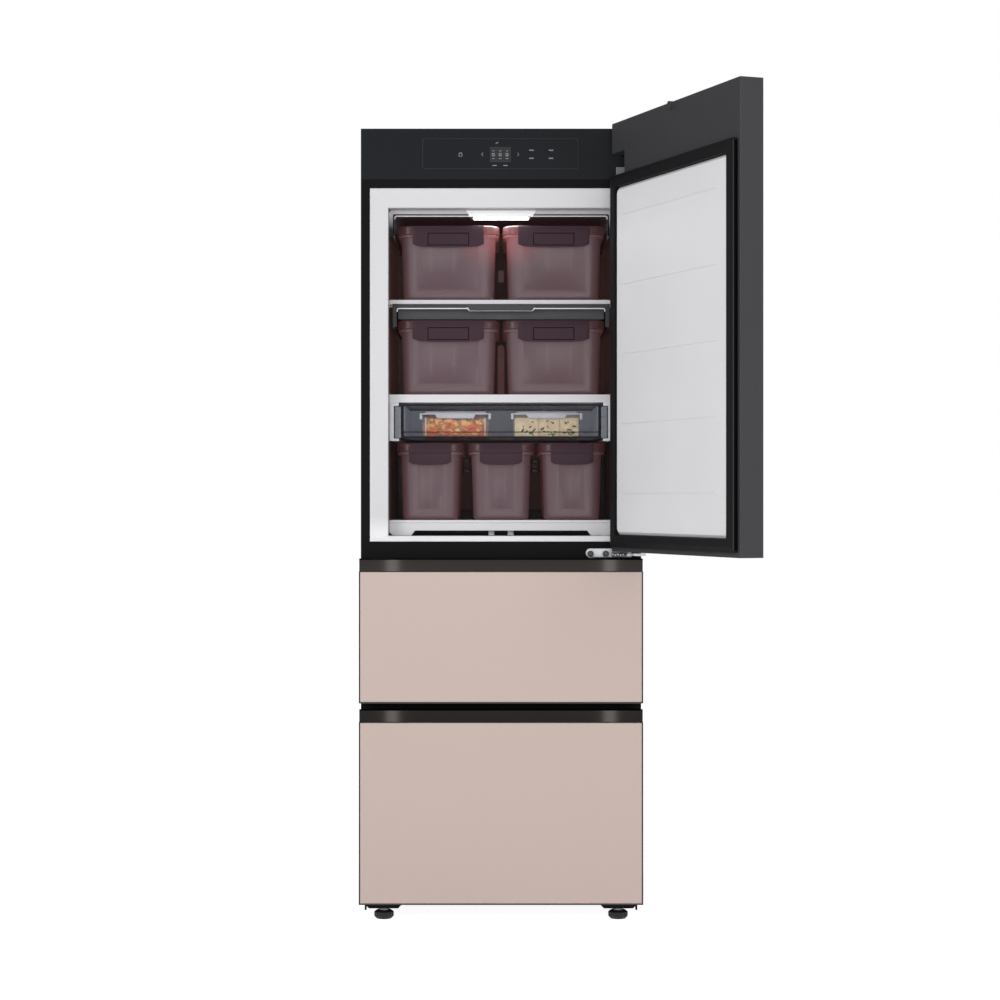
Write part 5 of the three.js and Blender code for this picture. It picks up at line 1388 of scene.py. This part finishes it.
cake_low, cake_high = food_space("right")[:2]
herbs = {"red": [], "green": []}
SLIVER_HEIGHTS = {
    "red": (cake_low.z + 0.012, cake_high.z - 0.005),
    "green": (cake_low.z + 0.003, cake_low.z + 0.013),
}
for i in range(3):
    row = [cake_low.x + (cake_high.x - cake_low.x) * share for share in CAKE_EDGES[i : i + 2]]
    x0, x1 = row[0] + CAKE_GAP, row[1] - CAKE_GAP
    cake = add_block("bean_cake_%d" % i, (x0, *cake_low.yz), (x1, *cake_high.yz))
    dress(soften(cake, 0.0022, 3), "bean_cake", "snack_tray")
    for k in range(SLIVERS):
        length = dice.uniform(0.006, 0.012)
        sliver = add_ball("herb_sliver", 2)
        kind = "red" if k < RED_SLIVERS else "green"
        x = dice.uniform(x0 + SLIVER_INSET, x1 - SLIVER_INSET)
        at = (x, cake_low.y - SLIVER_THICK / 2, dice.uniform(*SLIVER_HEIGHTS[kind]))
        tilt = Matrix.Rotation(dice.uniform(-1.2, 1.2), 4, "Y")
        flat = Matrix.Diagonal((length / 2, SLIVER_THICK, length * dice.uniform(0.16, 0.28), 1))
        sliver.data.transform(Matrix.Translation(at) @ tilt @ flat)
        herbs[kind].append(sliver)
for kind, pieces in herbs.items():
    print(kind, "slivers:", len(pieces))
    pile_of(pieces, "herbs_" + kind, kind + "_herb")

# %% [markdown]
# The header carries a touch window: a thin outline printed on its dark face, with a few pale signs
# inside it. They are printed, so each is a skin a fifth of a millimetre proud of the face. The
# signs are plain: a house, two arrows, three figures on a lighter pad, and short bars.

# %% Touch window
PRINT = 0.0002  # how far a layer of print stands off the one below
WINDOW = (500.25, 153.75, 155.5, 30.5)  # column, row, width and height in pixels
WINDOW_LINE = 0.9  # both sides of its line together, in pixels
FIGURE_COLUMNS = (493.3, 500.2, 507.0)
FIGURE_ROW = 154.7
ARROW_ROW = 154.4
HOUSE = (460.5, 155.0)  # column and row of its middle
SLANTED = (497.0, 143.6)
BARS = [(494.6, 165.5, 4.4, 1.1), (505.5, 165.5, 4.4, 1.1)]
BARS += [(column, row, 4.6, 1.3) for column in (531.5, 551.0) for row in (150.3, 158.3)]
BARS += [(column, 150.9, 2.0, 0.9) for column in FIGURE_COLUMNS]
BARS += [(column, 158.6, 2.4, 0.9) for column in FIGURE_COLUMNS]


def at_pixel(column, row, y):
    """The point at a depth that shows at a pixel of the photograph."""
    reach = (y - camera.location.y) / FOCAL_PIXELS
    x = centre_x + (column - MIDDLE_COLUMN) * reach
    return Vector((x, y, CAMERA_HEIGHT - (row - HORIZON_ROW) * reach))


pixel = (front_y - camera.location.y) / FOCAL_PIXELS


def printed(name, column, row, width, height, finish, layer=1):
    """A printed patch on the header: its middle and its size in pixels of the photograph."""
    point = at_pixel(column, row, front_y)
    half = Vector((width * pixel / 2, 0, height * pixel / 2))
    patch = add_block(name, point - half - Vector((0, layer * PRINT, 0)), point + half)
    return dress(patch, finish, "cabinet", "fascia")


window = printed("touch_window", *WINDOW, "printed_line")
inner_size = (WINDOW[2] - WINDOW_LINE, WINDOW[3] - WINDOW_LINE)
inner = printed("touch_window_inner", *WINDOW[:2], *inner_size, "header_glass", 2)
printed("sign_pad", 500.5, 154.5, 21.0, 15.5, "printed_pad", 3)
for piece, radius in ((window, 0.0045), (inner, 0.004)):
    with editing(piece):
        round_off(along("Y"), radius, 4)
for i, bar in enumerate(BARS):
    printed("sign_bar_%d" % i, *bar, "printed_sign", 4)
for i, column in enumerate(FIGURE_COLUMNS):
    printed("sign_figure_%d" % i, column, FIGURE_ROW, 2.9, 3.1, "printed_sign", 4)
    printed("sign_figure_hollow_%d" % i, column, FIGURE_ROW, 1.2, 1.3, "printed_pad", 5)
for name, column, tip in (("sign_arrow_left", 483.0, -1), ("sign_arrow_right", 517.5, 1)):
    arrow = printed(name, column, ARROW_ROW, 0.7, 3.6, "printed_sign", 4)
    z = at_pixel(column, ARROW_ROW, front_y).z
    with editing(arrow):
        cut_at("Z", z)
        pick("VERT", at_height(z))
        move(x=tip * 1.4 * pixel)
roof = at_pixel(*HOUSE, front_y)
HOUSES = (("sign_house", 3.6, "printed_sign", 4), ("sign_house_hollow", 2.2, "header_glass", 5))
for name, size, finish, layer in HOUSES:
    with editing(printed(name, *HOUSE, size, size * 0.9, finish, layer)):
        cut_at("X", roof.x)
        pick("VERT", lambda v: near(v.co.x, roof.x) and v.co.z > roof.z)
        move(z=size * 0.36 * pixel)
slant = at_pixel(*SLANTED, front_y)
with editing(printed("sign_slanted", *SLANTED, 2.8, 1.0, "printed_sign", 4)):
    pick("VERT", lambda v: v.co.x > slant.x)
    move(z=1.4 * pixel)
print("printed bars", len(BARS))

# %% [markdown]
# The door turns on a steel plate at its foot. The plate is held by two dark screws, each in a
# round recess with a star drive, and a thin spring washer strip runs out along it under the door.
# The front feet are dark knobs, fluted so that fingers can turn them, on a short steel stem,
# painted bright: a painted highlight for the glint on its metal.

# %% Hinge screws
PLATE_FACE = front_y - 0.0033  # the hinge plate's front
SCREW_COLUMNS = (590.7, 606.0)
SCREW_ROW = 553.7
SCREW_RADIUS = 0.0072
HEAD_ROUND = 0.0014
HEAD_RISE = 0.0042
SOCKET_RADIUS = 0.0034
ON_ITS_SIDE = (math.pi / 2, 0, 0)


def ahead(point, out, back):
    """The two ends of a rod that runs through a point of the plate."""
    return point - Vector((0, out, 0)), point + Vector((0, back, 0))


for i, column in enumerate(SCREW_COLUMNS):
    point = at_pixel(column, SCREW_ROW, PLATE_FACE)
    ends = ahead(point, 0.0006, 0.001)
    recess = add_rod("screw_recess_%d" % i, *ends, SCREW_RADIUS + 0.002, 40, ON_ITS_SIDE)
    with editing(recess):
        pick("FACE", lambda f: facing(f, "Y", -1))
        inset(0.001)
        inset(0.0008, -0.0005)
    dress(smooth(recess, 30), "zinc_metal", "cabinet", "zinc")
    ends = ahead(point, HEAD_RISE, 0.001)
    head = add_rod("screw_head_%d" % i, *ends, SCREW_RADIUS, 24, ON_ITS_SIDE)
    with editing(head):
        round_off(lambda e: all(v.co.y < PLATE_FACE - 0.004 for v in e.verts), HEAD_ROUND, 3)
        pick("FACE", lambda f: facing(f, "Y", -1) and f.calc_area() > 2e-5)
        inset(SCREW_RADIUS - HEAD_ROUND - SOCKET_RADIUS)
        inset(0.0005, -0.0016)
    dress(smooth(head, 30), "screw_black", "cabinet", "rubber")
print("hinge plate at y", round(PLATE_FACE, 4))

# %% Washer strip
WASHER_CORNERS = ((611.5, 557.0), (624.5, 552.4))  # column and row, low and high
TEETH = 5
TOOTH_HALF = Vector((0.0014, 0, 0.0016))
TOOTH_SHARES = (0.58, 0.42)  # the teeth stand higher and lower by turns

ARM_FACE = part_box("lower_hinge")[0].y
strip_low, strip_high = [at_pixel(*corner, ARM_FACE) for corner in WASHER_CORNERS]
washer = add_block(
    "hinge_washer", strip_low - Vector((0, 0.002, 0)), strip_high + Vector((0, 0.001, 0))
)
teeth = []
for i in range(TEETH):
    share = Vector(((i + 0.5) / TEETH, 0, TOOTH_SHARES[i % 2]))
    middle = strip_low + (strip_high - strip_low) * share
    low = middle - TOOTH_HALF - Vector((0, 0.0028, 0))
    teeth.append(add_block("hinge_tooth_%d" % i, low, middle + TOOTH_HALF - Vector((0, 0.0016, 0))))
tooth = named(joined(*teeth), "hinge_teeth")
for piece, finish, size in ((washer, "screw_black", 0.0008), (tooth, "zinc_metal", 0.0004)):
    dress(soften(piece, size, 2, anything, 30), finish, "cabinet", "zinc")
print("washer strip at y", round(ARM_FACE, 4))

# %% Front feet
FLUTES = 18
FLUTE_DEPTH = 0.93
KNOB_HEIGHT = 0.0205
KNOB_CUTS = (0.006, 0.0045)  # the knob's full width starts and ends this far from its ends
KNOB_FOOT, KNOB_HEAD = 0.78, 0.72  # the widths of its ends, as shares of its full width
STEM_RADIUS, STEM_SUNK = 0.0078, 0.002
COLLAR_RADIUS, COLLAR_HEIGHT = 0.0115, 0.004

for _, side in SIDES:
    low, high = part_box("front_foot_" + side)
    centre = (low + high) / 2
    knob_top = low.z + KNOB_HEIGHT
    x, y = centre.xy
    width = high.x - low.x

    def on_flute(v):
        between = low.z + 0.003 < v.co.z < knob_top - 0.003
        return between and round(math.atan2(v.co.y - y, v.co.x - x) / math.pi * FLUTES) % 2

    knob = add_rod("foot_knob_" + side, (x, y, low.z), (x, y, knob_top), width / 2, FLUTES * 2)
    with editing(knob):
        cut_at("Z", low.z + KNOB_CUTS[0], knob_top - KNOB_CUTS[1])
        for z, share in ((low.z, KNOB_FOOT), (knob_top, KNOB_HEAD)):
            pick("VERT", at_height(z))
            resize(share, share, 1, (x, y, z))
        pick("VERT", on_flute)
        resize(FLUTE_DEPTH, FLUTE_DEPTH, 1, (x, y, low.z))
        round_off(level(knob_top, low.z), 0.0014, 3)
    dress(smooth(knob, 25), "foot_black", "foot_" + side, "rubber", "front_foot_" + side)
    stem = add_rod(
        "foot_stem_" + side, (x, y, knob_top - STEM_SUNK), (x, y, high.z), STEM_RADIUS, 24
    )
    collar_top = knob_top + COLLAR_HEIGHT
    collar = add_rod(
        "foot_collar_" + side, (x, y, knob_top), (x, y, collar_top), COLLAR_RADIUS, 6
    )
    # The stem and collar are steel given a bright matt finish: a painted highlight for their glint.
    dress(smooth(stem, 30), "stem_painted_glint", "foot_" + side, "zinc")
    dress(soften(collar, 0.0007, 2, anything, 30), "stem_painted_glint", "foot_" + side, "zinc")
print("feet", FLUTES, "flutes each")

# %% [markdown]
# Cold air comes down a flat tunnel under the ceiling, and down another under the upper shelf. Each
# shows in front as a grey band with a thin pale lip, rounded at its shoulders. The lamp's housing
# hangs in the middle of the upper one, and its front glows as well as its foot. Behind the gaps
# between the containers stands a column with a rounded head, with a small cover over the sensor in
# it.

# %% Tunnel fronts
LIP = 0.0026
LIP_LEGS = 0.009  # how far the lip's ends reach down
SHOULDER = 0.009
BAND_THICK = (0.0012, 0.003)  # in front of the tunnel's face and behind it
FRONTS = (  # name, face, top, foot, band, reach past the tunnel's sides, black groove of painted shadow, finish
    ("ceiling", tunnel_low.y, tunnel_high.z, tunnel_low.z, 0.0098, 0.0086, 0.0032, "band_painted_shade"),
    ("shelf", plate_low.y, plate_foot, plate_low.z, 0.0094, 0.0, 0.0, "under_grey"),
)
for name, face, top, foot, band, reach, groove, finish in FRONTS:
    low = Vector((tunnel_low.x - reach, face - BAND_THICK[0], foot - 0.03))
    high = Vector((tunnel_high.x + reach, face + BAND_THICK[1], top - 0.0003))
    arch = ring("tunnel_band_" + name, low, high, SHOULDER, band, foot)
    dress(arch, finish, "cabinet", "grey")
    # A black ring in the groove between band and lip: painted shadow.
    if groove:
        inner = Vector((band, 0.0002, 0))
        gap_high = high - inner - Vector((0, 0, band))
        gap = ring("tunnel_groove_" + name, low + inner, gap_high, SHOULDER * 0.5, groove, foot)
        dress(gap, "groove_painted_shadow", "cabinet", "grey")
    inward = band + groove
    lip_low = low + Vector((inward, -0.0006, 0))
    lip_high = high - Vector((inward, 0, inward))
    corner = max(SHOULDER - band * 0.8, 0.005)
    lip = ring("tunnel_lip_" + name, lip_low, lip_high, corner, LIP, lip_high.z - LIP_LEGS)
    dress(lip, "white_plastic", "cabinet", "grey")
print("tunnel lips", LIP, "thick")

# %% Housing fronts
HOUSING_TOP = 0.0835  # half of a housing's width
HOUSING_FOOT = 0.0745
HOUSING_FACES = (0.0024, 0.0002)  # in front of the face behind it
HANGER_DROP = 0.0165
hanger_foot = plate_foot - HANGER_DROP
shelf_face = plate_low.y
lamp_span = tunnel_high.z - 0.0005, lens_low.z + 0.0002
hanger_span = plate_foot - 0.0006, hanger_foot
edge_span = plate_foot - 0.009, hanger_foot - 0.0008
HOUSINGS = (  # name, face, top and foot, finish, slot, how much wider it is on each side
    ("lamp_front", tunnel_low.y, lamp_span, "lamp_window", "lamp", 0),
    ("hanger_front", shelf_face - 0.0006, hanger_span, "hanger_grey", "liner", 0),
    ("hanger_edge", shelf_face, edge_span, "white_plastic", "liner", 0.001),
)
for name, face, (top, foot), finish, slot_name, wider in HOUSINGS:
    half = HOUSING_TOP + wider
    x, y = (centre_x - half, centre_x + half), [face - out for out in HOUSING_FACES]
    housing = add_span(name, x, y, (foot, top))
    with editing(housing):
        pick("VERT", lambda v: v.co.z < foot + 0.001)
        resize(HOUSING_FOOT / HOUSING_TOP, 1, 1, (centre_x, 0, 0))
    soften(housing, 0.0008, 2, sharp)
    dress(housing, finish, "cabinet", slot_name)
print("lamp front", round(lens_low.z, 4), "to", round(tunnel_high.z, 4))

# %% Tunnel face
FACE_DEPTH = 0.022  # from the arch back to the tunnel's front wall
FACE_THICK = 0.0015
FACE_INSET = 0.012

face_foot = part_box("lid_middle_left")[1].z + 0.003
face_y = plate_low.y + FACE_DEPTH
x = tunnel_low.x + FACE_INSET, tunnel_high.x - FACE_INSET
face = add_span("tunnel_face", x, (face_y, face_y + FACE_THICK), (face_foot, plate_foot - 0.0004))
dress(soften(face, 0.003, 4, along("Y")), "face_grey", "cabinet", "grey")
print("tunnel face above z", round(face_foot, 4))

# %% Air columns
COLUMN_HALF = 0.0085
COLUMN_DEEP = 0.008
COLUMN_DROP = 0.012  # from the lid's foot down to the column's head
CAP_HALF = COLUMN_HALF * 0.85
CAP_HEIGHT = 0.03
CAP_DROP = 0.035
CAP_FACES = (0.0105, 0.0075)  # in front of the duct's face

duct_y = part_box("rear_duct")[0].y
column_y = duct_y - COLUMN_DEEP
# The columns' warm tints and glows are painted light, from light that has passed through the red tubs.
for row, tone in (("upper", "duct_grey"), ("middle", "column_tone")):
    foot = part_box("tub_%s_left" % row)[0].z + 0.002
    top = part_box("lid_%s_left" % row)[0].z - COLUMN_DROP
    x = centre_x - COLUMN_HALF, centre_x + COLUMN_HALF
    column = add_span("air_column_" + row, x, (column_y, duct_y - 0.0002), (foot, top))
    with editing(column):
        round_off(lambda e: level(top)(e) and along("Y")(e), COLUMN_HALF * 0.95, 6)
    soften(column, 0.0015, 2, lambda e: all(near(v.co.y, column_y) for v in e.verts))
    dress(column, tone, "cabinet", "grey")
    cap_top = top - CAP_DROP
    x, y = (centre_x - CAP_HALF, centre_x + CAP_HALF), [duct_y - out for out in CAP_FACES]
    cap = add_span("sensor_cover_" + row, x, y, (cap_top - CAP_HEIGHT, cap_top))
    with editing(cap):
        round_off(along("Y"), 0.003, 4)
        pick("FACE", lambda f: facing(f, "Y", -1))
        inset(0.0012, 0.0005)
    dress(smooth(cap, 30), "sensor_grey", "cabinet", "grey")
print("columns stand on the duct's face at y", round(duct_y, 4))

# %% [markdown]
# Along the door's free side the seal leaves a narrow channel in shade: its black strip is painted
# shadow, with a slightly paler lip beside it. Both are thin strips on the seal's outer side. They
# are modelled with the door shut, where the seal is straight, and turned open with it about the
# hinge pin.

# %% Seal channel
DOOR_OPEN = math.radians(111.1)
SHOULDER_DROP = 0.0044  # from the seal's face back to its shoulder
STRIP_END = 0.006  # from the seal's ends in to those of the strips

pin = Vector(next(j for j in frame["joints"] if j["name"] == "door_hinge")["pos_m"])
opened = Matrix.Translation(pin) @ Matrix.Rotation(DOOR_OPEN, 4, "Z") @ Matrix.Translation(-pin)
shut = opened.inverted()
seal = [shut @ v.co for v in nodes["door_gasket"].data.vertices]
seal_low = Vector([min(v[i] for v in seal) for i in range(3)])
seal_high = Vector([max(v[i] for v in seal) for i in range(3)])
shoulder = seal_high.y - SHOULDER_DROP
strips = (  # name, finish, low and high x from the seal's side, low and high y
    ("seal_channel", "channel_painted_shadow", (-0.0006, 0.0005), (seal_low.y + 0.0004, shoulder - 0.0002)),
    ("seal_lip", "lip_grey", (-0.0003, 0.0026), (shoulder, shoulder + 0.0018)),
)
for name, finish, x, y in strips:
    x = [seal_low.x + out for out in x]
    strip = add_span(name, x, y, (seal_low.z + STRIP_END, seal_high.z - STRIP_END))
    soften(strip, 0.0002).data.transform(opened)
    dress(strip, finish, "door", "rubber")
print("shut seal from x", round(seal_low.x, 4), "y", round(seal_high.y, 4))
